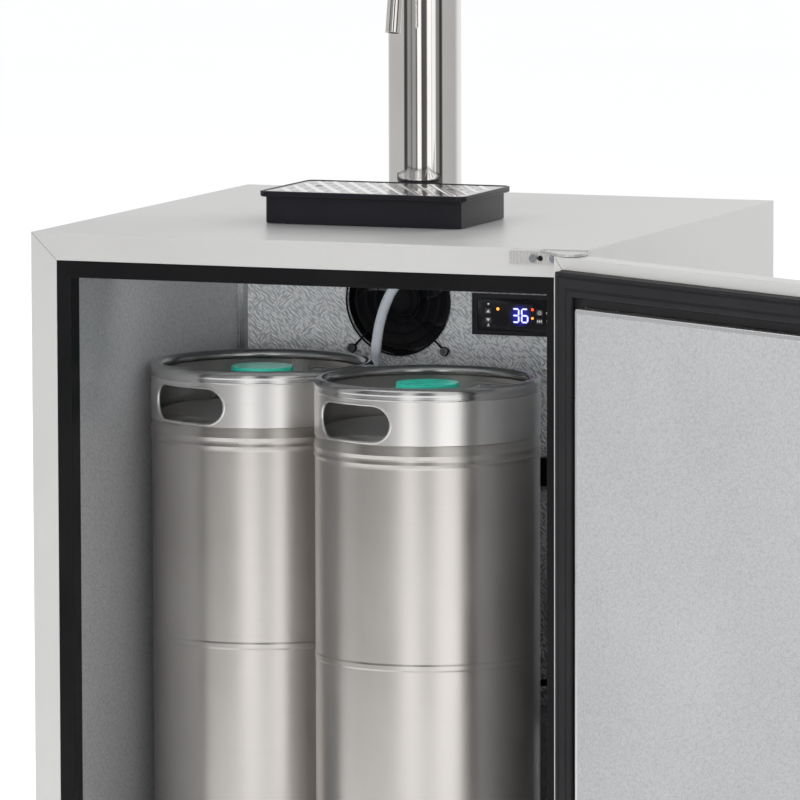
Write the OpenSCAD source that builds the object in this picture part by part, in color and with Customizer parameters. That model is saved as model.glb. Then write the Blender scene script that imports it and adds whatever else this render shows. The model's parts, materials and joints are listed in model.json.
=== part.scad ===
// Kegerator: a front-opening undercounter beer cooler that holds two slim kegs, with a draught tower on top.
// The origin is on the floor under the centre of the cabinet's footprint. +X is the hinge side, +Y the back, +Z up.

/* [Cabinet] */
// Width of the cabinet
cab_w = 600; // [590:1:620]
// Depth of the cabinet without its door
cab_d = 588; // [580:1:600]
// Height of the worktop above the floor
cab_h = 864; // [864:1:870]
// Height of the cabinet body's underside above the floor
body_z = 77; // [70:1:80]
// Width of the steel flange round the door opening
flange_w = 27.9; // [26:0.1:29]
// Width of the black breaker frame inside the flange
frame_w = 15.7; // [14:0.1:16]
// Thickness of the insulated walls
wall = 43.2; // [43:0.1:46]

/* [Interior] */
// Height of the compartment floor above the floor
floor_z = 122; // [120:1:124]
// Distance from the footprint's centre to the front of the rear step
step_y = 60; // [58:1:64]
// Height of the top of the rear step
step_z = 330; // [320:1:340]
// Distance from the footprint's centre to the panel over the evaporator
cover_y = 163; // [160:1:170]
// Distance from the footprint's centre to the liner's rear wall
rear_y = 250; // [246:1:252]

/* [Door] */
// Angle from closed at which the door stands
door_open = 149.7; // [100:0.1:160]
// Thickness of the door between its skin and its inner flange
door_t = 26; // [24:1:28]
// Distance from the cabinet's side to the hinge pin
pin_in = 10.9; // [10:0.1:13]
// Distance from the cabinet's front to the hinge pin
pin_out = 22.5; // [22:0.1:24]
// Height of the inner panel above the door's flange
plug_h = 14; // [12:0.5:14]
// Width of the door's steel inner flange
door_lip = 12; // [11:0.5:13]

/* [Kegs] */
// Outer diameter of a keg
keg_d = 232; // [228:1:233]
// Height of a keg
keg_h = 593; // [580:1:593]

/* [Tower] */
// Diameter of the tower
tower_d = 76; // [70:1:78]
// Height of the tower above the worktop
tower_h = 340; // [330:5:360]
// Height of the faucet above the worktop
faucet_h = 256; // [240:2:270]

/* [Drip tray] */
// Width of the tray over its rim
tray_w = 226; // [210:1:230]
// Depth of the tray over its rim
tray_d = 144; // [130:1:144]
// Height of the tray
tray_h = 34; // [28:1:38]

/* [Hidden] */
$fn = 48;

e = 1;                                   // overshoot of a cut past the face it opens
sheet = 1.5;                             // cabinet sheet metal
skin = 1.2;                              // door and liner sheet
hx = cab_w / 2;
hy = cab_d / 2;
in_x = hx - wall;                        // inner face of the side walls
ceil_z = cab_h - 45;                     // inner face of the ceiling
frame_in = flange_w + frame_w;           // from the cabinet's edge to the clear opening
frame_depth = 22;
bay_y = 100;                             // front of the compressor bay
bay_z = 285;                             // top of the compressor bay
base_z = 20;

pin_x = hx - pin_in;
pin_y = -hy - pin_out;
door_gap = 11;                           // from the cabinet's front to the door's flange
door_in = -hy - door_gap;
door_out = door_in - door_t;
door_top = cab_h - 4.2;
door_bot = body_z + 4;
band = 35;                               // black band between the door's lip and its inner panel
gasket_w = 26;
gasket_h = 10.6;
pin_r = 4;
leaf_t = 2.7;

tower_x = -5;
tower_y = 58;
tower_r = tower_d / 2;
tap_z = cab_h + faucet_h;
lever_y = tower_y - tower_r - 46;        // pivot of the faucet's lever
lever_z = tap_z + 14;
lever_pin = 2;                           // radius of the lever's pivot pin
hole_r = 24;                             // hole in the worktop under the tower

fan_x = -74;
fan_z = ceil_z - 61;
fan_pitch = 105;
fan_bore = 57.5;
case_x = [11.6, 110];
case_z = [725.7, 769.5];
case_d = 10;

keg_r = keg_d / 2;
keg_z = floor_z + 0.3;
rim_z = keg_z + keg_h;
left_keg = [-138.2, -68.9];
right_keg = [77.9, -156.3];
slot_turn = 113.1;                       // hand holes are this far round from +X
bead = 1.2;                              // height of the rolled beads round a keg
neck_r = 27;                             // neck of a keg's valve

tray_x = -3.5;
tray_y = -134;
rim_h = 7;
rim_over = 6;

cfan = [140, 200, 135];                  // condenser fan centre
coupler_at = [224, -42, floor_z + 31.3];

// Points of the beer line, from the shank's elbow down the tower, behind the left keg and along the floor
line_d = 11;
line_route = [[-5, 66, 1082], [-5, 66, 1040], [-5, 64, 980], [-5, 61, 920], [-6, 58, 870], [-12, 57, 830],
    [-27, 59, 800], [-46, 64, 776], [-59, 69, 748], [-66, 72, 715], [-68, 73, 680], [-67, 71, 640],
    [-63, 66, 590], [-55, 57, 530], [-45, 46, 460], [-36, 37, 390], [-30, 31, 320], [-26, 28, 250],
    [-23, 26, 195], [-17, 26, 158], [-3, 27, 137], [20, 28, 129], [50, 28, 127.8], [85, 27, 127.8],
    [120, 27, 127.8], [155, 30, 127.8], [188, 38, 128], [212, 42, 132], [228, 36, 142], [232, 22, 149],
    [228, 10, 152.5], [224, 3, 153.3]];

function spline(p, i, t) =
    let (a = p[max(i - 1, 0)], b = p[i], c = p[i + 1], d = p[min(i + 2, len(p) - 1)])
    0.5 * (2 * b + (c - a) * t + (2 * a - 5 * b + 4 * c - d) * t * t + (3 * b - a - 3 * c + d) * t * t * t);
function route(p, per) = [for (i = [0:len(p) - 2]) for (k = [0:per - 1]) spline(p, i, k / per), p[len(p) - 1]];
function unit(v) = v / norm(v);
function along(p, i) = unit(p[min(i + 1, len(p) - 1)] - p[max(i - 1, 0)]);

// A box from its limits
module slab(x, y, z) {
    translate([x[0], y[0], z[0]])
        cube([x[1] - x[0], y[1] - y[0], z[1] - z[0]]);
}

// A box with rounded vertical edges
module round_slab(x, y, z, r) {
    corners = [[x[1] - r, y[1] - r, 0], [x[0] + r, y[1] - r, 90], [x[0] + r, y[0] + r, 180],
        [x[1] - r, y[0] + r, 270]];
    translate([0, 0, z[0]])
        linear_extrude(z[1] - z[0])
            polygon([for (c = corners) for (a = [0:10:90]) [c[0] + r * cos(a + c[2]), c[1] + r * sin(a + c[2])]]);
}

// Cylinders along the three axes, from one coordinate to another
module rod_z(at, r, z) {
    translate([at[0], at[1], z[0]])
        cylinder(r = r, h = z[1] - z[0]);
}
module rod_y(at, r, y) {
    translate([at[0], y[0], at[1]])
        rotate([-90, 0, 0])
            cylinder(r = r, h = y[1] - y[0]);
}
module rod_x(at, r, x) {
    translate([x[0], at[0], at[1]])
        rotate([0, 90, 0])
            cylinder(r = r, h = x[1] - x[0]);
}

// A straight rod between two points
module strut(a, b, r) {
    d = b - a;
    translate(a)
        rotate([0, acos(d[2] / norm(d)), atan2(d[1], d[0])])
            cylinder(r = r, h = norm(d), $fn = 24);
}

// A bent pipe: struts with a ball at each corner
module pipe(points, r) {
    for (i = [0:len(points) - 2])
        strut(points[i], points[i + 1], r);
    for (i = [1:len(points) - 2])
        translate(points[i])
            sphere(r = r, $fn = 24);
}

// A tube swept along a route as one closed polyhedron
module sweep(p, d, sides) {
    n = len(p);
    rings = [for (i = [0:n - 1])
        let (t = along(p, i), u = unit(cross(t, abs(t[1]) < 0.9 ? [0, 1, 0] : [1, 0, 0])), v = cross(t, u))
        for (k = [0:sides - 1]) p[i] + d / 2 * (cos(360 * k / sides) * u + sin(360 * k / sides) * v)];
    sides_faces = [for (i = [0:n - 2]) for (k = [0:sides - 1])
        let (a = i * sides + k, b = i * sides + (k + 1) % sides) [a, a + sides, b + sides, b]];
    ends = [[for (k = [0:sides - 1]) k], [for (k = [sides - 1:-1:0]) (n - 1) * sides + k]];
    polyhedron(rings, concat(sides_faces, ends), convexity = 10);
}

// A slotted pan-head screw along -Y with its head's underside on the face y
module screw_y(at, y, length) {
    difference() {
        rod_y(at, 4.2, [y - 2.4, y]);
        slab([at[0] - 2.6, at[0] + 2.6], [y - 3, y - 1.4], [at[1] - 0.5, at[1] + 0.5]);
        slab([at[0] - 0.5, at[0] + 0.5], [y - 3, y - 1.4], [at[1] - 2.6, at[1] + 2.6]);
    }
    rod_y(at, 2, [y - 0.2, y + length]);
}

// ---- Cabinet ----

screw_holes_x = [hx - 56.3, hx - 35];    // hinge screws
upper_screw_z = cab_h - 9.2;
lower_screw_z = body_z + 9.2;
tower_bolts = [for (a = [45:90:315]) [tower_x + 43 * cos(a), tower_y + 43 * sin(a)]];

module outer_shell() {
    color("gainsboro")
        difference() {
            slab([-hx, hx], [-hy, hy], [body_z, cab_h]);
            slab([-hx + sheet, hx - sheet], [-hy + sheet, hy + e], [body_z - e, cab_h - sheet]);
            slab([-hx + flange_w, hx - flange_w], [-hy - e, -hy + 2 * sheet],
                [body_z + flange_w, cab_h - flange_w]);
            rod_z([tower_x, tower_y], hole_r, [cab_h - 3, cab_h + e]);
            for (p = tower_bolts)
                rod_z(p, 2.3, [cab_h - 3, cab_h + e]);
            for (x = screw_holes_x, z = [upper_screw_z, lower_screw_z])
                rod_y([x, z], 2.3, [-hy - e, -hy + 3]);
        }
}

// The compartment with its rear step, grown outwards by g, open at the front from y0
module compartment(g, y0) {
    difference() {
        slab([-in_x - g, in_x + g], [y0, rear_y + g], [floor_z - g, ceil_z + g]);
        slab([-in_x - g - e, in_x + g + e], [step_y + g, rear_y + g + e], [floor_z - g - e, step_z - g]);
    }
}

module breaker_outline(g, y) {
    slab([-hx + frame_in - g, hx - frame_in + g], y, [body_z + frame_in + 1.6 - g, cab_h - frame_in - 1.6 + g]);
}

module foam_body() {
    color("khaki")
        difference() {
            slab([-hx + sheet, hx - sheet], [-hy + sheet, hy - sheet], [body_z + sheet, cab_h - sheet]);
            compartment(skin, -hy + frame_depth);
            breaker_outline(2.2, [-hy - e, -hy + frame_depth + 0.1]);
            slab([-hx, hx], [bay_y, hy], [body_z, bay_z]);
            slab([-hx + flange_w - 0.1, hx - flange_w + 0.1], [-hy, -hy + 2.1],
                [body_z + flange_w - 0.1, cab_h - flange_w + 0.1]);
            rod_z([tower_x, tower_y], hole_r, [ceil_z - e, cab_h]);
            for (p = tower_bolts)
                rod_z(p, 2.3, [cab_h - 12, cab_h]);
            for (x = screw_holes_x, z = [upper_screw_z, lower_screw_z])
                rod_y([x, z], 2.3, [-hy, -hy + 12]);
            rod_y([-200, 600], 5.3, [rear_y, hy + e]);
        }
}

module inner_liner() {
    color("silver")
        difference() {
            compartment(skin, -hy + frame_depth);
            compartment(0, -hy + frame_depth - e);
            rod_z([tower_x, tower_y], hole_r, [ceil_z - e, ceil_z + 3]);
            rod_y([-200, 600], 5.3, [rear_y - e, rear_y + 3]);
        }
}

module breaker_frame() {
    color("#1a1a1c")
        difference() {
            union() {
                slab([-hx + flange_w, hx - flange_w], [-hy, -hy + 2], [body_z + flange_w, cab_h - flange_w]);
                breaker_outline(2, [-hy, -hy + frame_depth]);
            }
            breaker_outline(0, [-hy - e, -hy + frame_depth + e]);
        }
}

module rear_panel() {
    color("silver")
        difference() {
            slab([-hx + sheet, hx - sheet], [hy - sheet, hy], [bay_z, cab_h - sheet]);
            rod_y([-200, 600], 5.3, [hy - 3, hy + e]);
        }
}

module bay_partition() {
    color("silver") {
        slab([-hx + sheet, hx - sheet], [-hy + sheet, bay_y + sheet], [body_z, body_z + sheet]);
        slab([-hx + sheet, hx - sheet], [bay_y, bay_y + sheet], [body_z, bay_z]);
        slab([-hx + sheet, hx - sheet], [bay_y, hy - sheet], [bay_z - sheet, bay_z]);
    }
}

module base_tray() {
    color("dimgray")
        difference() {
            slab([-hx, hx], [-hy + 32, hy], [base_z, body_z]);
            slab([-hx + 2, hx - 2], [-hy + 34, hy - 2], [base_z + 2, body_z + e]);
            slab([-hx + 25, hx - 25], [-hy + 31, -hy + 35], [base_z + 6, body_z - 6]);
            for (p = feet_at)
                rod_z(p, 5.3, [base_z - e, base_z + 3]);
        }
}

feet_at = [[-hx + 40, -hy + 60], [hx - 40, -hy + 60], [-hx + 40, hy - 32], [hx - 40, hy - 32]];

module levelling_feet() {
    color("#2a2a2c")
        for (p = feet_at) {
            rod_z(p, 20, [0, 8]);
            rod_z(p, 5, [8, 34]);
            translate([p[0], p[1], 13])
                cylinder(r = 9, h = 7, $fn = 6);
        }
}

module kick_grille() {
    color("#202022")
        difference() {
            slab([-hx + 12, hx - 12], [-hy + 26, -hy + 32], [base_z + 3, body_z - 2]);
            for (i = [0:4], side = [-1, 1])
                slab([side * 138 - 128, side * 138 + 128], [-hy + 25, -hy + 33],
                    [base_z + 9 + 8.5 * i, base_z + 14 + 8.5 * i]);
        }
}

// ---- Cooling unit inside the compartment ----

fan_corners = [for (sx = [-1, 1], sz = [-1, 1]) [fan_x + sx * fan_pitch / 2, fan_z + sz * fan_pitch / 2]];

module evaporator_cover() {
    color("silver")
        difference() {
            slab([-in_x + 0.6, in_x - 0.6], [cover_y, cover_y + 1.2], [step_z + 0.6, ceil_z - 0.6]);
            rod_y([fan_x, fan_z], 58, [cover_y - e, cover_y + 3]);
            for (p = fan_corners)
                rod_y(p, 2.3, [cover_y - e, cover_y + 3]);
            slab([case_x[0] + 13, case_x[1] - 14], [cover_y - e, cover_y + 3], [case_z[0] + 8, case_z[1] - 7]);
            for (i = [0:11])
                slab([-190 + 34 * i, -166 + 34 * i], [cover_y - e, cover_y + 3], [step_z + 22, step_z + 30]);
        }
}

module corner_trims() {
    color("lightgray")
        for (s = [0, 1])
            mirror([s, 0, 0])
                difference() {
                    slab([-in_x, -in_x + 9.4], [cover_y - 9, cover_y], [step_z + 0.6, ceil_z - 0.6]);
                    slab([-in_x + 1, -in_x + 10], [cover_y - 10, cover_y - 1], [step_z, ceil_z]);
                }
}

coil_z = 380;
coil_rows = 5;
coil_pitch = 38;

module evaporator_coil() {
    color("silver") {
        for (i = [0:14])
            slab([-210 + 30 * i - 0.5, -210 + 30 * i + 0.5], [190, 236], [coil_z, coil_z + coil_rows * coil_pitch]);
        pipe([for (k = [0:coil_rows - 1]) for (s = k % 2 == 0 ? [-1, 1] : [1, -1])
            [236 * s, 213, coil_z + coil_pitch * (k + 0.5)]], 4);
        for (x = [-222, 222])
            slab([x - 0.6, x + 0.6], [188, rear_y], [coil_z - 4, coil_z + coil_rows * coil_pitch + 4]);
    }
}

module fan_frame() {
    y0 = cover_y + 1.2;
    color("#161618")
        difference() {
            union() {
                difference() {
                    slab([fan_x - 60, fan_x + 60], [y0, y0 + 25], [fan_z - 60, fan_z + 60]);
                    rod_y([fan_x, fan_z], fan_bore, [y0 - e, y0 + 26]);
                }
                rod_y([fan_x, fan_z], 20, [y0 + 18.2, y0 + 24.6]);
                for (a = [45:90:315])
                    translate([fan_x, y0 + 20.5, fan_z])
                        rotate([0, a, 0])
                            slab([15, fan_bore + 3], [0, 3.5], [-2.5, 2.5]);
            }
            for (p = fan_corners)
                rod_y(p, 2, [y0 - e, y0 + 26]);
            rod_y([fan_x, fan_z], 2.55, [y0 + 10, y0 + 23]);
        }
}

// An axial impeller about +Y: hub, spindle and curved blades
module impeller(hub_r, tip_r, depth, blades) {
    rod_y([0, 0], hub_r, [0, depth]);
    rod_y([0, 0], 2.5, [0, depth + 5.5]);
    for (k = [0:blades - 1])
        rotate([0, 360 / blades * k, 0])
            translate([hub_r - 2, depth / 2, 0])
                rotate([38, 0, 0])
                    slab([0, tip_r - hub_r + 0.5], [-1, 1], [-hub_r * 0.55, hub_r * 0.55]);
}

module fan_rotor() {
    color("#1c1c1f")
        translate([fan_x, cover_y + 3.4, fan_z])
            impeller(20, 55, 15, 7);
}

module fan_guard() {
    y0 = cover_y - 6;
    color("#101010") {
        for (r = [14, 25, 36, 47, 58])
            translate([fan_x, y0, fan_z])
                rotate([90, 0, 0])
                    rotate_extrude()
                        translate([r, 0])
                            circle(r = 1, $fn = 16);
        for (p = fan_corners) {
            c = [fan_x, y0 + 1.6, fan_z];
            d = unit([p[0] - fan_x, 0, p[1] - fan_z]);
            strut(c + 12 * d, [p[0], y0 + 1.6, p[1]] - 4 * d, 1);
            translate([p[0], y0 + 1.6, p[1]])
                rotate([90, 0, 0])
                    rotate_extrude()
                        translate([4, 0])
                            circle(r = 1.1, $fn = 16);
            difference() {
                rod_y(p, 3.6, [y0 + 1.6, cover_y]);
                rod_y(p, 2.3, [y0, cover_y + e]);
            }
        }
    }
}

module fan_screws() {
    color("silver")
        for (p = fan_corners)
            screw_y(p, cover_y - 5.6, 24);
}

button_xz = [[29.8, 750.7], [29.8, 741.5], [87.4, 741.7], [87.4, 750.9]];
button_w = 7;
button_h = 6;
pocket = 0.3;

module controller_case() {
    color("#141416")
        difference() {
            union() {
                slab(case_x, [cover_y - case_d, cover_y], case_z);
                slab([case_x[0] + 13.4, case_x[1] - 14.4], [cover_y - e, cover_y + 45],
                    [case_z[0] + 8.4, case_z[1] - 7.4]);
            }
            slab([case_x[0] + 6, case_x[1] - 6], [cover_y - case_d - e, cover_y - case_d + 1.2],
                [case_z[0] + 4.5, case_z[1] - 5]);
            for (p = button_xz)
                slab([p[0] - button_w / 2 - pocket, p[0] + button_w / 2 + pocket],
                    [cover_y - case_d, cover_y - 4],
                    [p[1] - button_h / 2 - pocket, p[1] + button_h / 2 + pocket]);
        }
}

module key(i) {
    p = button_xz[i];
    color("#26262a")
        slab([p[0] - button_w / 2, p[0] + button_w / 2], [cover_y - case_d + 0.5, cover_y - 5],
            [p[1] - button_h / 2, p[1] + button_h / 2]);
}
module button_up() { key(0); }
module button_down() { key(1); }
module button_set() { key(2); }
module button_power() { key(3); }

module probe_cover() {
    color("#0c0c0d")
        difference() {
            slab([68, 98], [cover_y - 12, cover_y], [567.5, 597.5]);
            slab([70, 96], [cover_y - 10, cover_y + e], [569.5, 595.5]);
        }
}

// ---- Draught tower ----

module tower_flange() {
    color("silver")
        difference() {
            union() {
                rod_z([tower_x, tower_y], 50, [cab_h, cab_h + 4]);
                rod_z([tower_x, tower_y], tower_r - 1.6, [cab_h, cab_h + 16]);
            }
            rod_z([tower_x, tower_y], hole_r, [cab_h - e, cab_h + 17]);
            for (p = tower_bolts)
                rod_z(p, 2.3, [cab_h - e, cab_h + 5]);
        }
}

module tower_column() {
    color("silver")
        difference() {
            rod_z([tower_x, tower_y], tower_r, [cab_h + 4, cab_h + tower_h - 14], $fn = 96);
            rod_z([tower_x, tower_y], tower_r - 1.6, [cab_h + 3, cab_h + tower_h - 13]);
            rod_y([tower_x, tap_z], 11.2, [tower_y - tower_r - e, tower_y]);
        }
}

module tower_cap() {
    color("silver") {
        rod_z([tower_x, tower_y], tower_r - 1.8, [cab_h + tower_h - 26, cab_h + tower_h - 13]);
        translate([tower_x, tower_y, cab_h + tower_h - 14])
            rotate_extrude()
                polygon(concat([[0, 0], [tower_r + 1, 0], [tower_r + 1, 7]],
                    [for (a = [15:15:90]) [(tower_r - 6) + 7 * cos(a), 7 + 7 * sin(a)]], [[0, 14]]));
    }
}

module shank() {
    y0 = tower_y - tower_r;
    color("silver")
        difference() {
            union() {
                rod_y([tower_x, tap_z], 11, [y0 - 14, y0 + 46]);
                rod_y([tower_x, tap_z], 17, [y0 - 5, y0 - 0.5]);
                translate([tower_x, y0 + 30, tap_z])
                    rotate([-90, 0, 0])
                        cylinder(r = 15, h = 8, $fn = 6);
                rod_z([tower_x, y0 + 46], 6.5, [tap_z - 22, tap_z]);
                translate([tower_x, y0 + 46, tap_z])
                    sphere(r = 11);
                rod_z([tower_x, y0 + 46], 4, [tap_z - 38, tap_z - 22]);
            }
            rod_y([tower_x, tap_z], 3.2, [y0 - 15, y0 + 46]);
            rod_z([tower_x, y0 + 46], 2.6, [tap_z - 39, tap_z]);
        }
}

module faucet_nut() {
    y0 = tower_y - tower_r;
    color("silver")
        difference() {
            rod_y([tower_x, tap_z], 16.5, [y0 - 26, y0 - 6]);
            rod_y([tower_x, tap_z], 11.2, [y0 - 14, y0 - 5]);
            rod_y([tower_x, tap_z], 12.2, [y0 - 27, y0 - 14]);
            for (a = [0:45:315])
                translate([tower_x + 18.2 * cos(a), y0 - 27, tap_z + 18.2 * sin(a)])
                    rotate([-90, 0, 0])
                        cylinder(r = 3, h = 22);
        }
}

spout_a = [tower_x, lever_y + 4, tap_z - 4];
spout_b = [tower_x, lever_y - 8, tap_z - 64];

module faucet_body() {
    y0 = tower_y - tower_r;
    color("silver")
        difference() {
            union() {
                rod_y([tower_x, tap_z], 12, [lever_y - 6, y0 - 14.2]);
                translate([tower_x, lever_y - 6, tap_z])
                    sphere(r = 12);
                rod_z([tower_x, lever_y], 12, [tap_z, lever_z + 5]);
                rod_z([tower_x, lever_y], 14, [tap_z + 9, lever_z + 5]);
                strut(spout_a, spout_b, 8.2);
            }
            rod_y([tower_x, tap_z], 6, [lever_y - 10, y0 - 14]);
            rod_z([tower_x, lever_y], 9.3, [tap_z + 4, lever_z + 6]);
            rod_z([tower_x, lever_y], 5, [tap_z, tap_z + 5]);
            rod_x([lever_y, lever_z], lever_pin + 0.06, [tower_x - 15, tower_x + 15]);
            strut(spout_a, spout_b + unit(spout_b - spout_a), 5.5);
        }
}

module faucet_plunger() {
    color("silver")
        difference() {
            union() {
                rod_y([tower_x, tap_z], 4.6, [lever_y - 7, lever_y + 7]);
                rod_y([tower_x, tap_z], 2.5, [lever_y + 6, lever_y + 21]);
                rod_y([tower_x, tap_z], 5.5, [lever_y + 17, lever_y + 20]);
            }
            slab([tower_x - 2.3, tower_x + 2.3], [lever_y - 3, lever_y + 3], [tap_z - 6, tap_z + 6]);
        }
}

module faucet_lever() {
    color("silver") {
        rod_z([tower_x, lever_y], 1.8, [tap_z - 1, lever_z]);
        translate([tower_x, lever_y, lever_z])
            sphere(r = 9);
        rod_z([tower_x, lever_y], 5, [lever_z, lever_z + 30]);
        rod_x([lever_y, lever_z], lever_pin, [tower_x - 13.8, tower_x + 13.8]);
    }
}

module tap_handle() {
    translate([tower_x, lever_y, lever_z + 24])
        color("#151515")
            difference() {
                rotate_extrude()
                    polygon([[0, 0], [8, 0], [9.5, 3], [10, 12], [12, 60], [14, 92], [13.4, 98], [10, 102],
                        [4, 104], [0, 104]]);
                translate([0, 0, -e])
                    cylinder(r = 5.05, h = 7);
            }
}

// ---- Drip tray ----

module tray_box(g, z) {
    round_slab([tray_x - tray_w / 2 - g, tray_x + tray_w / 2 + g], [tray_y - g, tray_y + tray_d + g], z, 9 + g);
}

module drip_tray() {
    top = cab_h + tray_h;
    color("#18181a")
        difference() {
            union() {
                tray_box(0, [top - rim_h, top]);
                tray_box(-rim_over, [cab_h, top - rim_h + 1]);
            }
            tray_box(-3, [top - 2.4, top + e]);
            tray_box(-rim_over - 3, [cab_h + 3, top]);
        }
}

module drip_grille() {
    top = cab_h + tray_h;
    color("silver")
        difference() {
            tray_box(-3.4, [top - 2.4, top - 0.8]);
            for (x = [tray_x - 73, tray_x + 73])
                round_slab([x - 8, x + 8], [tray_y + tray_d / 2 + 6, tray_y + tray_d / 2 + 14],
                    [top - 4, top + e], 3.9);
            for (i = [-6:6], j = [-3:2])
                translate([tray_x + 15.6 * i, tray_y + tray_d / 2 + 18 * j + 2, top - 4])
                    rotate([0, 0, 45])
                        slab([-5, 5], [-1, 1], [0, 5]);
        }
}

// ---- Beer line and keg coupler ----

module beer_line() {
    color("lightgray")
        sweep(route(line_route, 2), line_d, 10);
}

// The coupler lies on its side on the compartment floor, its tail towards the back
module coupler() {
    color("silver")
        translate(coupler_at) {
            difference() {
                union() {
                    rod_y([0, 0], 24, [-62, -24]);
                    rod_y([0, 0], 31, [-70, -62]);
                    rod_y([0, 0], 15, [-24, 8]);
                    rod_x([-40, 0], 7, [-22, 30]);
                    for (s = [-1, 1])
                        slab([s * 15 - 3, s * 15 + 3], [-24, -2], [0, 24]);
                }
                rod_x([-12, 18], 2.6, [-20, 20]);
                rod_y([0, 0], 19, [-71, -60]);
                slab([-12, 12], [-22, 4], [8, 20]);
            }
            translate([0, 8, 0])
                rotate([-90, 0, 0])
                    cylinder(r = 15.5, h = 12, $fn = 6);
            rod_y([0, 0], 6, [19, 45]);
        }
}

module coupler_lever() {
    color("#141414")
        translate(coupler_at) {
            rod_x([-12, 18], 2.5, [-19, 19]);
            slab([-11.4, 11.4], [-18, -6], [15, 24]);
            slab([-8, 8], [-110, -10], [31.5, 38]);
            slab([-8, 8], [-18, -6], [20, 34]);
            rod_x([-110, 34.8], 3.4, [-8, 8]);
        }
}

// ---- Kegs ----

// Outline of a keg's pressure vessel below its rim, from the top centre to the bottom centre, inset by t
function vessel(t) = let (r = keg_r - bead - t, top = -42 - t, bottom = -keg_h + 34 + t) concat(
    [[0, top], [30, top - 1]],
    [for (a = [60:-15:0]) [r - 26 + 26 * cos(a), top - 20 + 14 * sin(a)]],
    t > 0 ? [] : [[r + 0.3, -64], [r + bead, -68], [r + 0.3, -72], [r + 0.3, -74], [r + bead, -77],
        [r + 0.2, -80], [r, -82], [r, -279], [r + 0.5, -281], [r + 0.5, -285], [r, -287], [r, -keg_h + 82],
        [r + bead, -keg_h + 77], [r + 0.3, -keg_h + 74], [r + bead, -keg_h + 68]],
    [for (a = [0:-15:-90]) [r - 40 + 40 * cos(a), bottom + 30 + 24 * sin(a)]],
    [[0, bottom]]);

module keg_vessel(at) {
    color("darkgray")
        translate([at[0], at[1], rim_z])
            difference() {
                rotate_extrude($fn = 96)
                    polygon(vessel(0));
                rotate_extrude($fn = 96)
                    polygon(vessel(1.8));
                translate([0, 0, -50])
                    cylinder(r = neck_r, h = 20);
            }
}

module keg_chimes(at) {
    r = keg_r - 0.6;
    color("gray")
        translate([at[0], at[1], rim_z]) {
            difference() {
                union() {
                    translate([0, 0, -57.4])
                        cylinder(r = r, h = 53.4, $fn = 96);
                    translate([0, 0, -4.5])
                        rotate_extrude($fn = 96)
                            translate([r - 4.9, 0])
                                circle(r = 4.5, $fn = 24);
                }
                translate([0, 0, -59])
                    cylinder(r = r - 2.2, h = 55, $fn = 96);
                translate([0, 0, -6])
                    cylinder(r = r - 9.6, h = 8, $fn = 96);
                for (turn = [0, 180])
                    rotate([0, 0, turn - slot_turn])
                        hand_hole();
            }
            difference() {
                translate([0, 0, -keg_h + 4])
                    cylinder(r = r - 0.6, h = 52.3, $fn = 96);
                translate([0, 0, -keg_h + 3])
                    cylinder(r = r - 2.8, h = 54, $fn = 96);
            }
            translate([0, 0, -keg_h + 4.5])
                rotate_extrude($fn = 96)
                    translate([r - 4.9, 0])
                        circle(r = 4.5, $fn = 24);
        }
}

// A stadium-shaped cut along +X through a chime, 95 wide and 37 tall
module hand_hole() {
    for (y = [-29, 29])
        translate([80, y, -36.5])
            rotate([0, 90, 0])
                cylinder(r = 18.5, h = 50);
    slab([80, 130], [-29, 29], [-55, -18]);
}

module keg_valve(at) {
    color("silver")
        translate([at[0], at[1], rim_z])
            difference() {
                union() {
                    translate([0, 0, -48])
                        cylinder(r = neck_r, h = 27);
                    translate([0, 0, -27])
                        cylinder(r = 29.5, h = 6);
                    translate([0, 0, -keg_h + 40])
                        cylinder(r = 6, h = keg_h - 80);
                }
                translate([0, 0, -30])
                    cylinder(r = 21, h = 10);
            }
}

module keg_cap(at) {
    color("#1f8a63")
        translate([at[0], at[1], rim_z])
            difference() {
                union() {
                    translate([0, 0, -31])
                        cylinder(r = 32, h = 25.5);
                    for (a = [0:30:330])
                        rotate([0, 0, a])
                            translate([32, 0, -29])
                                cylinder(r = 1.2, h = 20, $fn = 16);
                }
                translate([0, 0, -32])
                    cylinder(r = 29.8, h = 11.3);
                translate([0, 0, -21])
                    cylinder(r = 28, h = 13.5);
            }
}

module left_keg_vessel() { keg_vessel(left_keg); }
module left_keg_chimes() { keg_chimes(left_keg); }
module left_keg_valve() { keg_valve(left_keg); }
module left_keg_cap() { keg_cap(left_keg); }
module right_keg_vessel() { keg_vessel(right_keg); }
module right_keg_chimes() { keg_chimes(right_keg); }
module right_keg_valve() { keg_valve(right_keg); }
module right_keg_cap() { keg_cap(right_keg); }

// ---- Door, drawn closed and turned about its pins ----

module swing() {
    translate([pin_x, pin_y, 0])
        rotate([0, 0, door_open])
            translate([-pin_x, -pin_y, 0])
                children();
}

// A box inset by g from the door's edges
module door_box(g, y) {
    slab([-hx + g, hx - g], y, [door_bot + g, door_top - g]);
}

module bush_holes(r) {
    for (z = [[door_bot - e, door_bot + 14], [door_top - 14, door_top + e]])
        rod_z([pin_x, pin_y], r, z);
}

module door_skin() {
    color("gainsboro")
        swing()
            difference() {
                door_box(0, [door_out, door_in]);
                door_box(skin, [door_out + skin, door_in - skin]);
                door_box(door_lip, [door_in - 2 * skin, door_in + e]);
                bush_holes(7);
                for (z = handle_z)
                    rod_y([handle_x, z], 3.1, [door_out - e, door_out + 3]);
            }
}

module door_foam() {
    color("khaki")
        swing()
            difference() {
                union() {
                    door_box(skin, [door_out + skin, door_in - skin]);
                    door_box(door_lip + band + skin, [door_in - 2 * skin, door_in + plug_h - skin]);
                }
                bush_holes(7);
                for (z = handle_z)
                    rod_y([handle_x, z], 3.1, [door_out, door_out + 14]);
            }
}

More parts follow.
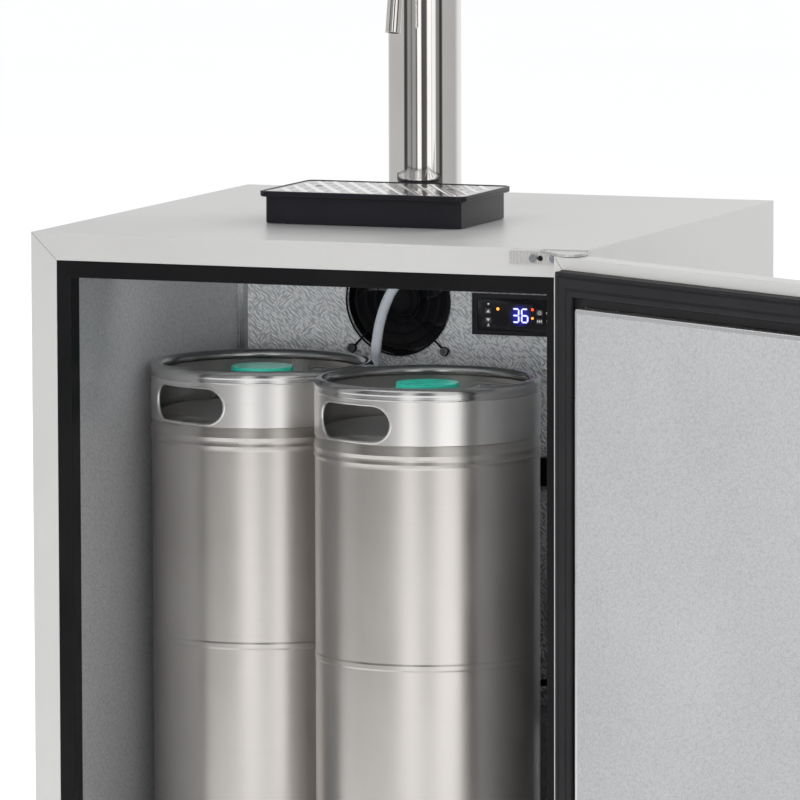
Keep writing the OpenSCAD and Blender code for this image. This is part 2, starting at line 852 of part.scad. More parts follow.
module door_panel() {
    color("silver")
        swing()
            difference() {
                door_box(door_lip + band, [door_in - skin, door_in + plug_h]);
                door_box(door_lip + band + skin, [door_in - 2 * skin, door_in + plug_h - skin]);
            }
}

module door_gasket() {
    color("#232325")
        swing()
            difference() {
                union() {
                    door_box(door_lip, [door_in - skin, door_in + 2]);
                    door_box(door_lip, [door_in, door_in + gasket_h]);
                }
                door_box(door_lip + band, [door_in - 2 * skin, door_in + 3]);
                door_box(door_lip + gasket_w, [door_in + 2, door_in + gasket_h + e]);
                difference() {
                    door_box(door_lip + 17, [door_in + gasket_h - 3, door_in + gasket_h + e]);
                    door_box(door_lip + 19, [door_in, door_in + gasket_h + 2 * e]);
                }
            }
}

handle_x = -hx + 38;
handle_z = [500, 740];
handle_out = 42;

module door_handle() {
    y0 = door_out - handle_out;
    color("silver")
        swing() {
            rod_z([handle_x, y0], 8, [handle_z[0] - 25, handle_z[1] + 25]);
            for (z = handle_z) {
                rod_y([handle_x, z], 6, [y0, door_out]);
                rod_y([handle_x, z], 3, [door_out - e, door_out + 12]);
            }
        }
}

module hinge_bushes() {
    color("white")
        swing()
            for (z = [[door_bot, door_bot + 14], [door_top - 14, door_top]])
                difference() {
                    rod_z([pin_x, pin_y], 7, z);
                    rod_z([pin_x, pin_y], pin_r + 0.05, [z[0] - e, z[1] + e]);
                }
}

// Hinge plate: a tab on the flange, a leaf over the door's end and a pin down into it
module hinge(leaf_z, tab_z, pin_z) {
    difference() {
        union() {
            slab([hx - 82, hx - 28], [-hy - 2.5, -hy], tab_z);
            translate([0, 0, leaf_z[0]])
                linear_extrude(leaf_z[1] - leaf_z[0])
                    polygon([[hx - 50, -hy], [hx + 3.1, -hy], [hx + 3.1, pin_y], [pin_x, pin_y - 14],
                        [pin_x - 8, pin_y - 11.5]]);
            rod_z([pin_x, pin_y], 14, leaf_z);
            rod_z([pin_x, pin_y], pin_r, pin_z);
        }
        for (x = [screw_holes_x[0], screw_holes_x[0] + 7])
            rod_y([x, (tab_z[0] + tab_z[1]) / 2], 2.8, [-hy - 4, -hy + e]);
        rod_y([screw_holes_x[1], (tab_z[0] + tab_z[1]) / 2], 2.3, [-hy - 4, -hy + e]);
    }
}

module upper_hinge() {
    color("lightgray")
        hinge([door_top + 0.5, door_top + 0.5 + leaf_t], [upper_screw_z - 5.8, upper_screw_z + 5.8],
            [door_top - 12, door_top + 1]);
}

module lower_hinge() {
    color("lightgray")
        hinge([door_bot - 0.3 - leaf_t, door_bot - 0.3], [lower_screw_z - 5.8, lower_screw_z + 5.8],
            [door_bot - 1, door_bot + 12]);
}

module cabinet_screws() {
    color("silver") {
        for (x = screw_holes_x, z = [upper_screw_z, lower_screw_z])
            screw_y([x, z], -hy - 2.5, 12);
        for (p = tower_bolts)
            translate([p[0], p[1], cab_h + 4])
                rotate([-90, 0, 0])
                    screw_y([0, 0], 0, 14);
        for (x = [-hx + 20, 0, hx - 20], z = [bay_z - 12, body_z + 12])
            translate([x, hy, z])
                rotate([0, 0, 180])
                    screw_y([0, 0], 0, 6);
    }
}

// ---- Compressor bay ----

comp_at = [-150, 195];

module compressor() {
    color("#1b1b1d")
        translate([comp_at[0], comp_at[1], base_z + 2]) {
            rotate_extrude($fn = 64)
                polygon(concat([[0, 18], [66, 18], [72, 24], [74, 60], [77, 62], [77, 68], [74, 70]],
                    [for (a = [0:15:75]) [74 * cos(a), 118 + 52 * sin(a)]], [[0, 170]]));
            for (s = [-1, 1])
                slab([-95, 95], [s * 45 - 12, s * 45 + 12], [14, 18]);
            for (x = [-84, 84], y = [-45, 45])
                rod_z([x, y], 9, [0, 14]);
            slab([72, 100], [-28, 28], [60, 120]);
        }
    color("peru") {
        pipe([[comp_at[0], comp_at[1] + 60, 150], [comp_at[0], comp_at[1] + 60, 225],
            [60, comp_at[1] + 60, 225], [205, comp_at[1] + 60, 225], [205, comp_at[1] + 60, 218]], 3);
        pipe([[comp_at[0] + 30, comp_at[1] - 50, 150], [comp_at[0] + 30, comp_at[1] - 50, 262],
            [235, comp_at[1] - 50, 262], [235, comp_at[1] - 50, 218]], 4);
    }
}

module condenser() {
    color("#2b2b2e") {
        for (i = [0:12])
            slab([190, 250], [118 + 12.5 * i, 119 + 12.5 * i], [50, 218]);
        for (z = [70:32:198], x = [205, 235])
            rod_y([x, z], 4.2, [112, 276]);
        for (y = [113, 273])
            slab([188, 252], [y - 0.8, y + 0.8], [base_z + 2, 222]);
    }
}

module condenser_fan_frame() {
    color("#303032")
        difference() {
            union() {
                difference() {
                    slab([cfan[0] + 2, cfan[0] + 32], [cfan[1] - 82, cfan[1] + 82], [base_z + 2, cfan[2] + 80]);
                    rod_x([cfan[1], cfan[2]], 76, [cfan[0], cfan[0] + 40]);
                }
                rod_x([cfan[1], cfan[2]], 24, [cfan[0] + 24, cfan[0] + 32]);
                for (a = [45:90:315])
                    translate([cfan[0] + 26, cfan[1], cfan[2]])
                        rotate([a, 0, 0])
                            slab([0, 4], [20, 77], [-3, 3]);
            }
            rod_x([cfan[1], cfan[2]], 2.55, [cfan[0] + 10, cfan[0] + 28]);
        }
}

module condenser_fan_rotor() {
    color("#88888c")
        translate([cfan[0] + 5, cfan[1], cfan[2]])
            rotate([0, 0, -90])
                impeller(22, 72, 17, 5);
}

module bay_cover() {
    color("silver")
        difference() {
            slab([-hx + sheet, hx - sheet], [hy - sheet, hy], [body_z, bay_z]);
            for (i = [0:9], x = [-150, 60])
                slab([x, x + 150], [hy - 3, hy + e], [body_z + 30 + 15 * i, body_z + 37 + 15 * i]);
            slab([-262, -214], [hy - 3, hy + e], [120, 150]);
            for (x = [-hx + 20, 0, hx - 20], z = [bay_z - 12, body_z + 12])
                rod_y([x, z], 2.1, [hy - 3, hy + e]);
        }
}

module power_inlet() {
    color("#161616")
        difference() {
            union() {
                slab([-267, -209], [hy, hy + 3], [115, 155]);
                slab([-261.8, -214.2], [hy - 26, hy + 1], [120.2, 149.8]);
            }
            slab([-254, -222], [hy - 18, hy + 4], [124, 146]);
        }
    color("silver")
        for (p = [[-247, 132], [-238, 138], [-229, 132]])
            slab([p[0] - 1, p[0] + 1], [hy - 19, hy - 4], [p[1] - 2.5, p[1] + 2.5]);
}

module gas_inlet() {
    color("silver")
        difference() {
            union() {
                rod_y([-200, 600], 5, [rear_y - 12, hy + 8]);
                rod_y([-200, 600], 10, [hy, hy + 3]);
                rod_y([-200, 600], 10, [rear_y - 3.2, rear_y]);
                rod_y([-200, 600], 4, [hy + 8, hy + 30]);
            }
            rod_y([-200, 600], 2.4, [rear_y - 13, hy + 31]);
        }
}

outer_shell();
foam_body();
inner_liner();
breaker_frame();
rear_panel();
bay_partition();
base_tray();
levelling_feet();
kick_grille();
evaporator_cover();
corner_trims();
evaporator_coil();
fan_frame();
fan_rotor();
fan_guard();
fan_screws();
controller_case();
button_up();
button_down();
button_set();
button_power();
probe_cover();
tower_flange();
tower_column();
tower_cap();
shank();
faucet_nut();
faucet_body();
faucet_plunger();
faucet_lever();
tap_handle();
drip_tray();
drip_grille();
beer_line();
coupler();
coupler_lever();
left_keg_vessel();
left_keg_chimes();
left_keg_valve();
left_keg_cap();
right_keg_vessel();
right_keg_chimes();
right_keg_valve();
right_keg_cap();
door_skin();
door_foam();
door_panel();
door_gasket();
door_handle();
hinge_bushes();
upper_hinge();
lower_hinge();
cabinet_screws();
compressor();
condenser();
condenser_fan_frame();
condenser_fan_rotor();
bay_cover();
power_inlet();
gas_inlet();
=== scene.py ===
import json
import math
import bmesh
import bpy
import numpy as np
from mathutils import Matrix, Vector

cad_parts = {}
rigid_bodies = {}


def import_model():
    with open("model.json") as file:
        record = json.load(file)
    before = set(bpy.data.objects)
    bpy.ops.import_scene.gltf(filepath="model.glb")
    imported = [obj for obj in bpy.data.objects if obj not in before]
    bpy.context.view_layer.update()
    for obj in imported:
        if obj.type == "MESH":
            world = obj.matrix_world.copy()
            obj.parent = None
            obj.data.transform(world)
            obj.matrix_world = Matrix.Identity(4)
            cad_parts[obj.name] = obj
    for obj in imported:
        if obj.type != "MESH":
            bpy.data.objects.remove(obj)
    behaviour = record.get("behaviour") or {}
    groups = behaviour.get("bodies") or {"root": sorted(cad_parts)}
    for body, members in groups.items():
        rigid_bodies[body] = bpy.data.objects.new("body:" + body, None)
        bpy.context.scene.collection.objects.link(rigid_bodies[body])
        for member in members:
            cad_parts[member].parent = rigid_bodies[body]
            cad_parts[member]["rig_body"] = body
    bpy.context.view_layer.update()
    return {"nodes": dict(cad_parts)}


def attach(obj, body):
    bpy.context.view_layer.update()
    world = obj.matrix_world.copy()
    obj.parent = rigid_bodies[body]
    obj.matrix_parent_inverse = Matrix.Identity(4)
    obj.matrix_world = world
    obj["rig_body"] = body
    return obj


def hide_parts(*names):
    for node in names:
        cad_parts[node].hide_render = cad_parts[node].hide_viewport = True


# Kegerator: the finished surfaces of an undercounter beer cooler. The frame is in metres; shapes are worked
# out in millimetres. +X is the hinge side, +Y the back, +Z up, and the origin is on the floor under the
# middle of the cabinet.

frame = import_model()
nodes = frame["nodes"]
MM = 0.001
ROUND = 2 * math.pi

# ---------------------------------------------------------------- camera

EYE = (2.8782, -7.5736, 1.6040)
HEADING, TILT, LEAN = 0.364507, 0.114555, -0.00269281
LENS, SENSOR = 352.94, 36.0


def aim_camera():
    """The camera looks along its heading and tilt, then leans about its own sight line."""
    level = math.cos(TILT)
    forward = np.array([-math.sin(HEADING) * level, math.cos(HEADING) * level, -math.sin(TILT)])
    right = np.array([math.cos(HEADING), math.sin(HEADING), 0.0])
    up = np.cross(right, forward)
    across = right * math.cos(LEAN) + up * math.sin(LEAN)
    upward = -right * math.sin(LEAN) + up * math.cos(LEAN)
    data = bpy.data.cameras.new("studio_camera")
    data.lens = LENS
    data.sensor_width = SENSOR
    data.clip_end = 200.0
    camera = bpy.data.objects.new("studio_camera", data)
    turn = Matrix((across, upward, -forward)).transposed().to_4x4()
    camera.matrix_world = Matrix.Translation(EYE) @ turn
    bpy.context.scene.collection.objects.link(camera)
    bpy.context.scene.camera = camera


aim_camera()

# ---------------------------------------------------------------- shader groups


class Graph:
    """Adds nodes to one tree; values that are sockets are linked and the rest are set."""

    def __init__(self, tree):
        self.tree = tree

    def put(self, socket, value):
        if isinstance(value, bpy.types.NodeSocket):
            self.tree.links.new(value, socket)
        else:
            socket.default_value = value

    def node(self, kind, *values, **settings):
        made = self.tree.nodes.new("ShaderNode" + kind)
        for key, value in settings.items():
            setattr(made, key, value)
        for socket, value in zip(made.inputs, values):
            self.put(socket, value)
        return made

    def math(self, operation, *values):
        return self.node("Math", *values, operation=operation).outputs[0]

    def plus(self, one, two):
        return self.math("ADD", one, two)

    def minus(self, one, two):
        return self.math("SUBTRACT", one, two)

    def times(self, one, two):
        return self.math("MULTIPLY", one, two)

    def below(self, value, limit):
        return self.math("LESS_THAN", value, limit)

    def unsigned(self, value):
        return self.math("ABSOLUTE", value)

    def weighed(self, one, share, two, rest):
        """Two values added, each times its own weight."""
        return self.plus(self.times(one, share), self.times(two, rest))

    def point(self, x, y, z):
        return self.node("CombineXYZ", x, y, z).outputs[0]

    def split(self, vector):
        return self.node("SeparateXYZ", vector).outputs

    def noise(self, vector, scale, detail=3.0, rough=0.55):
        made = self.node("TexNoise", vector)
        for name, value in (("Scale", scale), ("Detail", detail), ("Roughness", rough)):
            self.put(made.inputs[name], value)
        return made.outputs["Fac"]

    def mix(self, share, low, high, kind="RGBA"):
        """A colour or vector between two others; the Mix node has its own sockets for each kind."""
        first, out = {"RGBA": (6, 2), "VECTOR": (4, 1)}[kind]
        made = self.node("Mix", data_type=kind)
        for index, value in ((0, share), (first, low), (first + 1, high)):
            self.put(made.inputs[index], value)
        return made.outputs[out]

    def span(self, value, low, high, to_low=0.0, to_high=1.0):
        """A value carried from one range to another and held inside it."""
        return self.node("MapRange", value, low, high, to_low, to_high, clamp=True).outputs[0]


def group(name, inputs, outputs, build):
    """A shader node group of number outputs: inputs are {name: (kind, default)}, and build wires them."""
    tree = bpy.data.node_groups.new(name, "ShaderNodeTree")
    for key, (kind, default) in inputs.items():
        socket = tree.interface.new_socket(key, in_out="INPUT", socket_type="NodeSocket" + kind)
        if default is not None:
            socket.default_value = default
    for key in outputs:
        tree.interface.new_socket(key, in_out="OUTPUT", socket_type="NodeSocketFloat")
    entry = tree.nodes.new("NodeGroupInput")
    leave = tree.nodes.new("NodeGroupOutput")
    graph = Graph(tree)
    for key, value in build(graph, entry.outputs).items():
        graph.put(leave.inputs[key], value)
    return tree


def build_grain(g, ins):
    """Brushed lines: noise stretched along each face, upright on sides and left to right on top."""
    x, y, z = g.split(ins["Vector"])
    facing_up = g.split(ins["Facing"])[2]
    level = g.span(g.unsigned(facing_up), 0.6, 0.8)
    side = g.point(g.times(g.plus(x, y), ins["Fine"]), 0.0, g.times(z, ins["Long"]))
    top = g.point(g.times(x, ins["Long"]), g.times(y, ins["Fine"]), 0.0)
    place = g.mix(level, side, top, "VECTOR")
    fine = g.noise(place, 1.0, 4.0, 0.6)
    broad = g.noise(place, 0.12, 2.0)
    return {"Height": g.plus(fine, g.times(broad, 0.4)), "Mask": fine}


def build_handling(g, ins):
    """Wide soft clouds and small smears, where hands and cloths have gone over a surface."""
    clouds = g.noise(ins["Vector"], ins["Size"], 3.0)
    smears = g.noise(ins["Vector"], g.times(ins["Size"], 3.4), 4.0, 0.6)
    return {"Mask": g.span(g.weighed(clouds, 0.75, smears, 0.25), 0.3, 0.7)}


def build_pebble(g, ins):
    """Fine stucco: rounded cells with creases between them, bent by a broader noise."""
    cells = g.node("TexVoronoi", ins["Vector"], feature="SMOOTH_F1")
    g.put(cells.inputs["Scale"], ins["Pitch"])
    g.put(cells.inputs["Smoothness"], 0.4)
    bend = g.noise(ins["Vector"], g.times(ins["Pitch"], 0.6), 2.0)
    height = g.weighed(cells.outputs["Distance"], -0.8, bend, 0.6)
    return {"Height": height, "Mask": g.span(height, -0.4, 0.3)}


def build_dashes(g, ins):
    """Embossed dashes: cells drawn out along one diagonal or the other, in patches, each a rounded mound."""
    x, y, z = g.split(ins["Vector"])
    rise = g.plus(x, z)
    fall = g.minus(x, z)

    def strokes(along, over):
        wander = g.times(g.noise(ins["Vector"], g.times(ins["Pitch"], 0.5), 1.0), 0.0024)
        cells = g.node("TexVoronoi", g.point(g.times(along, 0.30), g.plus(over, wander), 0.0),
            feature="F1", voronoi_dimensions="2D")
        g.put(cells.inputs["Scale"], ins["Pitch"])
        return g.span(cells.outputs["Distance"], 0.08, 0.62, 1.0, 0.0)

    choice = g.span(g.noise(ins["Vector"], g.times(ins["Pitch"], 0.12), 1.0), 0.40, 0.46)
    rising = strokes(rise, fall)
    falling = strokes(fall, rise)
    height = g.weighed(falling, choice, rising, g.minus(1.0, choice))
    return {"Height": height, "Mask": g.span(height, 0.2, 0.62)}


def build_dust(g, ins):
    """Dust lies on faces that look up, in small uneven specks and a thin film."""
    up = g.span(g.split(ins["Facing"])[2], 0.5, 1.0)
    specks = g.span(g.noise(ins["Vector"], 900.0, 2.0), 0.62, 0.75)
    film = g.span(g.noise(ins["Vector"], 14.0, 4.0), 0.4, 0.8)
    both = g.math("MAXIMUM", g.times(specks, 0.6), g.times(film, 0.5))
    return {"Mask": g.times(g.times(both, up), ins["Amount"])}


PLACE = {"Vector": ("Vector", None)}
FACE = {"Facing": ("Vector", None)}
GRAIN = group("brushed_grain", {**PLACE, **FACE, "Fine": ("Float", 1400.0), "Long": ("Float", 12.0)},
    ("Height", "Mask"), build_grain)
HANDLING = group("handling_marks", {**PLACE, "Size": ("Float", 6.0)}, ("Mask",), build_handling)
PEBBLE = group("stucco_pebble", {**PLACE, "Pitch": ("Float", 300.0)}, ("Height", "Mask"), build_pebble)
DASHES = group("embossed_dashes", {**PLACE, "Pitch": ("Float", 220.0)}, ("Height", "Mask"), build_dashes)
DUST = group("settled_dust", {**PLACE, **FACE, "Amount": ("Float", 0.2)}, ("Mask",), build_dust)

# ---------------------------------------------------------------- finishes


def rgb(r, g, b):
    return (r, g, b, 1.0)


class Finish(Graph):
    """One material: a Principled BSDF with helpers for the shared effects."""

    def __init__(self, name, **shader):
        self.material = bpy.data.materials.new(name)
        self.material.use_nodes = True
        super().__init__(self.material.node_tree)
        self.bsdf = self.tree.nodes["Principled BSDF"]
        for key, value in shader.items():
            self.bsdf.inputs[key.replace("_", " ")].default_value = value
        where = self.node("TexCoord")
        self.place = where.outputs["Object"]
        self.facing = where.outputs["Normal"]

    def use(self, tree, **values):
        """A shared effect placed in this material, with its own values."""
        made = self.tree.nodes.new("ShaderNodeGroup")
        made.node_tree = tree
        for key, value in {"Vector": self.place, "Facing": self.facing, **values}.items():
            if key in made.inputs:
                self.put(made.inputs[key], value)
        return made.outputs

    def handled(self, size):
        return self.use(HANDLING, Size=size)["Mask"]

    def dusted(self, shade, amount, dust_shade):
        return self.mix(self.use(DUST, Amount=amount)["Mask"], shade, rgb(*dust_shade))

    def colour(self, value):
        self.put(self.bsdf.inputs["Base Color"], value)

    def rough(self, mask, low, high):
        self.put(self.bsdf.inputs["Roughness"], self.span(mask, 0.0, 1.0, low, high))

    def bump(self, height, depth):
        made = self.node("Bump")
        made.inputs["Distance"].default_value = depth
        self.put(made.inputs["Height"], height)
        self.put(self.bsdf.inputs["Normal"], made.outputs[0])


def brush(name, low, high, rough_low, rough_high,
        fine=1400.0, long=12.0, depth=0.00002, dust=0.0, metal=1.0):
    """Brushed or satin sheet: colour and roughness follow the grain and the marks of handling."""
    f = Finish(name, Metallic=metal)
    grain = f.use(GRAIN, Fine=fine, Long=long)
    marks = f.handled(5.0)
    shade = f.mix(f.times(f.plus(grain["Mask"], marks), 0.5), rgb(*low), rgb(*high))
    if dust:
        shade = f.dusted(shade, dust, (0.55, 0.54, 0.52))
    f.colour(shade)
    f.rough(f.weighed(grain["Mask"], 0.5, marks, 0.5), rough_low, rough_high)
    f.bump(grain["Height"], depth)
    return f


def brushed(*values, **settings):
    return brush(*values, **settings).material


HALF_WIDTH, TOP, BOTTOM = 0.3, 0.864, 0.077
MITRE_REACH, MITRE_HALF = 0.0285, 0.00032


def cabinet_steel():
    """Satin stainless sheet with a mitred seam at each front corner of the flange: a fine dark line where
    the distance from the side equals the distance from the top or the bottom."""
    f = brush("cabinet_steel", (0.415, 0.411, 0.402), (0.465, 0.461, 0.452), 0.30, 0.40,
        dust=0.08, metal=0.35)
    x, y, z = f.split(f.place)
    in_front = f.below(y, -0.2925)
    side = f.minus(HALF_WIDTH, f.unsigned(x))
    shade = f.bsdf.inputs["Base Color"].links[0].from_socket
    for level, sign in ((TOP, -1.0), (BOTTOM, 1.0)):
        drop = f.times(f.minus(z, level), sign)
        off = f.unsigned(f.minus(side, drop))
        near = f.below(f.unsigned(drop), MITRE_REACH)
        line = f.times(f.below(off, MITRE_HALF), f.times(near, in_front))
        shade = f.mix(line, shade, rgb(0.10, 0.10, 0.10))
    f.colour(shade)
    return f.material


def embossed(name, effect, low, high, rough_low, rough_high, depth, pitch, metal):
    """Embossed aluminium: creases are painted darker than the tops, as painted shade, and are rougher."""
    f = Finish(name, Metallic=metal)
    relief = f.use(effect, Pitch=pitch)
    marks = f.handled(4.0)
    # Colour: painted shade in the relief's creases, mixed with the marks of handling.
    f.colour(f.mix(f.weighed(relief["Mask"], 0.7, marks, 0.3), rgb(*low), rgb(*high)))
    f.rough(f.weighed(marks, 0.6, relief["Mask"], 0.4), rough_high, rough_low)
    f.bump(relief["Height"], depth)
    return f.material


def moulded(name, low, high, rough_low, rough_high,
        texture=900.0, depth=0.00002, dust=0.05, coat=0.0, shine=0.3):
    """Moulded plastic: a fine spark-eroded texture, soft wear and a little dust on top."""
    f = Finish(name, Coat_Weight=coat, Coat_Roughness=0.08, Specular_IOR_Level=shine)
    fine = f.noise(f.place, texture, 3.0)
    marks = f.handled(9.0)
    shade = f.mix(marks, rgb(*low), rgb(*high))
    if dust:
        shade = f.dusted(shade, dust, (0.32, 0.31, 0.29))
    f.colour(shade)
    f.rough(f.weighed(fine, 0.4, marks, 0.6), rough_low, rough_high)
    f.bump(fine, depth)
    return f.material


def keg_steel(name, low, high, rough_low, rough_high):
    """Spun steel: fine rings round the keg, streaks down it and the marks of handling."""
    f = Finish(name, Metallic=1.0)
    x, y, z = f.split(f.place)
    rings = f.noise(f.point(f.times(x, 3.0), f.times(y, 3.0), f.times(z, 1500.0)), 1.0, 4.0, 0.6)
    streaks = f.noise(f.point(f.times(x, 60.0), f.times(y, 60.0), f.times(z, 5.0)), 1.0, 4.0)
    wear = f.weighed(streaks, 0.35, f.handled(8.0), 0.65)
    f.colour(f.mix(f.weighed(rings, 0.4, wear, 0.6), rgb(*low), rgb(*high)))
    f.rough(wear, rough_low, rough_high)
    f.bump(rings, 0.000008)
    return f.material


def polished(name, low, high, rough_low, rough_high):
    """Polished metal: a clean reflection broken by hairline polishing and finger haze."""
    f = Finish(name, Metallic=1.0)
    marks = f.handled(12.0)
    hair = f.use(GRAIN, Fine=2600.0, Long=40.0)
    f.colour(f.mix(marks, rgb(*low), rgb(*high)))
    f.rough(f.weighed(marks, 0.7, hair["Mask"], 0.3), rough_low, rough_high)
    f.bump(hair["Height"], 0.000004)
    return f.material


def clear_plastic(name, low, high, through, rough=0.2):
    """Tinted translucent plastic with flow marks, through being the share of light that passes."""
    f = Finish(name, Transmission_Weight=through, IOR=1.45)
    flow = f.noise(f.place, 60.0, 3.0)
    f.colour(f.mix(flow, rgb(*low), rgb(*high)))
    f.rough(flow, rough * 0.7, rough * 1.3)
    f.bump(f.noise(f.place, 400.0, 2.0), 0.00003)
    return f.material


def glowing(name, shade, strength):
    """A lit plate, a little uneven in brightness."""
    f = Finish(name, Roughness=0.3, Emission_Strength=strength)
    bright = f.mix(f.noise(f.place, 700.0, 2.0), rgb(*[0.75 * c for c in shade]), rgb(*shade))
    f.colour(bright)
    f.put(f.bsdf.inputs["Emission Color"], bright)
    return f.material


DISPLAY_MIDDLE = (0.0654, 0.747)


def display_painted_glow():
    """Painted glow round the lit digits: a dark plate that glows blue, fading with the distance from their
    middle.
    """
    f = Finish("display_painted_glow", Roughness=0.2, Emission_Strength=0.5)
    x, y, z = f.split(f.place)
    across = f.minus(x, DISPLAY_MIDDLE[0])
    up = f.minus(z, DISPLAY_MIDDLE[1])
    far = f.math("SQRT", f.plus(f.times(across, across), f.times(up, up)))
    glow = f.mix(f.span(far, 0.003, 0.0125), rgb(0.035, 0.035, 0.75), rgb(0.004, 0.004, 0.006))
    f.colour(rgb(0.005, 0.005, 0.007))
    f.put(f.bsdf.inputs["Emission Color"], glow)
    return f.material


# Each finish: a darker and a lighter shade, then the smoothest and the roughest it gets.
M = {
    "cabinet": cabinet_steel(),
    "lip": brushed("door_lip_steel", (0.450, 0.446, 0.437), (0.500, 0.496, 0.486), 0.30, 0.42, metal=0.35),
    "hinge": brushed("hinge_steel", (0.43, 0.425, 0.415), (0.47, 0.465, 0.455), 0.22, 0.34,
        fine=1800.0, metal=0.6),
    "screw": brushed("screw_steel", (0.44, 0.46, 0.48), (0.62, 0.64, 0.66), 0.14, 0.26, fine=2200.0),
    "galvanised": brushed("galvanised_sheet", (0.45, 0.47, 0.49), (0.62, 0.64, 0.66), 0.34, 0.52,
        fine=160.0, long=120.0),
    "trim": brushed("smooth_trim", (0.68, 0.68, 0.69), (0.80, 0.80, 0.81), 0.22, 0.34),
    "coil": brushed("coil_aluminium", (0.60, 0.61, 0.62), (0.74, 0.75, 0.76), 0.30, 0.46, fine=600.0),
    "grille": brushed("grille_steel", (0.40, 0.40, 0.40), (0.54, 0.54, 0.54), 0.12, 0.22,
        fine=1800.0, depth=0.000006, dust=0.03),
    # The ribs are the grille's own steel, painted much lighter as a painted highlight.
    "rib": brushed("grille_rib_painted_highlight", (0.82, 0.82, 0.82), (0.94, 0.94, 0.94), 0.10, 0.20,
        fine=1800.0, depth=0.000006, dust=0.02),
    "liner": embossed("liner_stucco", PEBBLE, (0.40, 0.405, 0.415), (0.60, 0.605, 0.615), 0.34, 0.48,
        depth=0.0005, pitch=330.0, metal=0.55),
    "cover": embossed("cover_dashes", DASHES, (0.26, 0.28, 0.30), (0.96, 0.97, 0.98), 0.22, 0.34,
        depth=0.0010, pitch=350.0, metal=0.35),
    "panel": embossed("panel_stucco", PEBBLE, (0.29, 0.292, 0.295), (0.40, 0.402, 0.406), 0.42, 0.54,
        depth=0.0003, pitch=420.0, metal=0.3),
    "frame": moulded("breaker_plastic", (0.003, 0.003, 0.0035), (0.006, 0.006, 0.0065), 0.26, 0.38,
        shine=0.12),
    "fan": moulded("fan_plastic", (0.004, 0.004, 0.005), (0.008, 0.008, 0.009), 0.34, 0.48, shine=0.15),
    "case": moulded("controller_plastic", (0.006, 0.006, 0.007), (0.010, 0.010, 0.012), 0.10, 0.22,
        texture=1600.0, depth=0.00001, dust=0.0),
    "key": moulded("key_plastic", (0.030, 0.030, 0.033), (0.050, 0.050, 0.055), 0.28, 0.40, dust=0.0),
    "enamel": moulded("black_enamel", (0.014, 0.014, 0.015), (0.030, 0.030, 0.032), 0.22, 0.40,
        texture=220.0, coat=0.3),
    "rubber": moulded("gasket_rubber", (0.008, 0.008, 0.009), (0.014, 0.014, 0.015), 0.40, 0.52,
        texture=1400.0, shine=0.2),
    "foot": moulded("foot_rubber", (0.030, 0.030, 0.031), (0.060, 0.059, 0.057), 0.55, 0.75,
        texture=700.0, dust=0.3),
    "tray": moulded("tray_plastic", (0.006, 0.006, 0.008), (0.011, 0.011, 0.014), 0.18, 0.30,
        texture=1300.0, depth=0.00001, shine=0.22),
    "handle": moulded("tap_handle_plastic", (0.008, 0.008, 0.009), (0.018, 0.018, 0.020), 0.12, 0.22,
        coat=0.5),
    "nylon": moulded("bush_nylon", (0.72, 0.71, 0.67), (0.82, 0.81, 0.78), 0.34, 0.48, dust=0.0),
    "foam": moulded("insulation_foam", (0.70, 0.60, 0.34), (0.82, 0.73, 0.46), 0.80, 0.95,
        texture=160.0, depth=0.0008, dust=0.0),
    "print": moulded("printed_mark", (0.50, 0.50, 0.51), (0.66, 0.66, 0.67), 0.40, 0.52, dust=0.0),
    "chrome": polished("polished_steel", (0.80, 0.775, 0.75), (0.87, 0.85, 0.83), 0.03, 0.09),
    "brass": polished("plated_brass", (0.70, 0.64, 0.50), (0.80, 0.74, 0.60), 0.12, 0.26),
    # The rim roll is the chime's steel painted darker, as painted shade.
    "rolled": polished("rim_steel_painted_dark", (0.46, 0.455, 0.45), (0.56, 0.555, 0.55), 0.15, 0.26),
    "keg": keg_steel("keg_steel", (0.47, 0.445, 0.42), (0.58, 0.555, 0.53), 0.26, 0.36),
    "chime": keg_steel("chime_steel", (0.58, 0.565, 0.55), (0.73, 0.715, 0.70), 0.24, 0.34),
    "cap": clear_plastic("keg_cap_green", (0.015, 0.40, 0.29), (0.07, 0.64, 0.50), 0.25),
    "tube": clear_plastic("beer_tube_vinyl", (0.42, 0.46, 0.50), (0.60, 0.64, 0.68), 0.40, 0.12),
    "digits": glowing("display_light", (0.34, 0.36, 1.0), 2.4),
    "red_light": glowing("red_light", (1.0, 0.05, 0.015), 3.0),
    "amber_light": glowing("amber_light", (1.0, 0.22, 0.02), 4.0),
    # A plate of painted glow round the digits.
    "haze": display_painted_glow(),
}

# ---------------------------------------------------------------- surfaces


def piece(name, points, faces, material, body, stands_for=(), slot=None, smooth=35.0, close=True):
    """Puts points in millimetres and faces into a mesh in place, closes its seams and settles it."""
    mesh = bpy.data.meshes.new(name)
    corners = np.asarray(points, float).reshape(-1, 3) * MM
    mesh.from_pydata(corners.tolist(), [], [list(map(int, f)) for f in faces])
    work = bmesh.new()
    work.from_mesh(mesh)
    bmesh.ops.remove_doubles(work, verts=work.verts, dist=1e-6)
    bmesh.ops.dissolve_degenerate(work, edges=work.edges, dist=1e-7)
    if close:
        bmesh.ops.recalc_face_normals(work, faces=work.faces)
    work.to_mesh(mesh)
    work.free()
    return settle(name, mesh, material, body, stands_for, smooth)


def settle(name, mesh, material, body, stands_for=(), smooth=35.0):
    """Gives a finished mesh its shading, its material, its body and the CAD nodes it stands for."""
    mesh.polygons.foreach_set("use_smooth", np.ones(len(mesh.polygons), bool))
    mesh.set_sharp_from_angle(angle=math.radians(smooth))
    mesh.materials.clear()
    mesh.materials.append(material)
    made = bpy.data.objects.new(name, mesh)
    bpy.context.scene.collection.objects.link(made)
    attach(made, body)
    if stands_for:
        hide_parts(*stands_for)
    return made


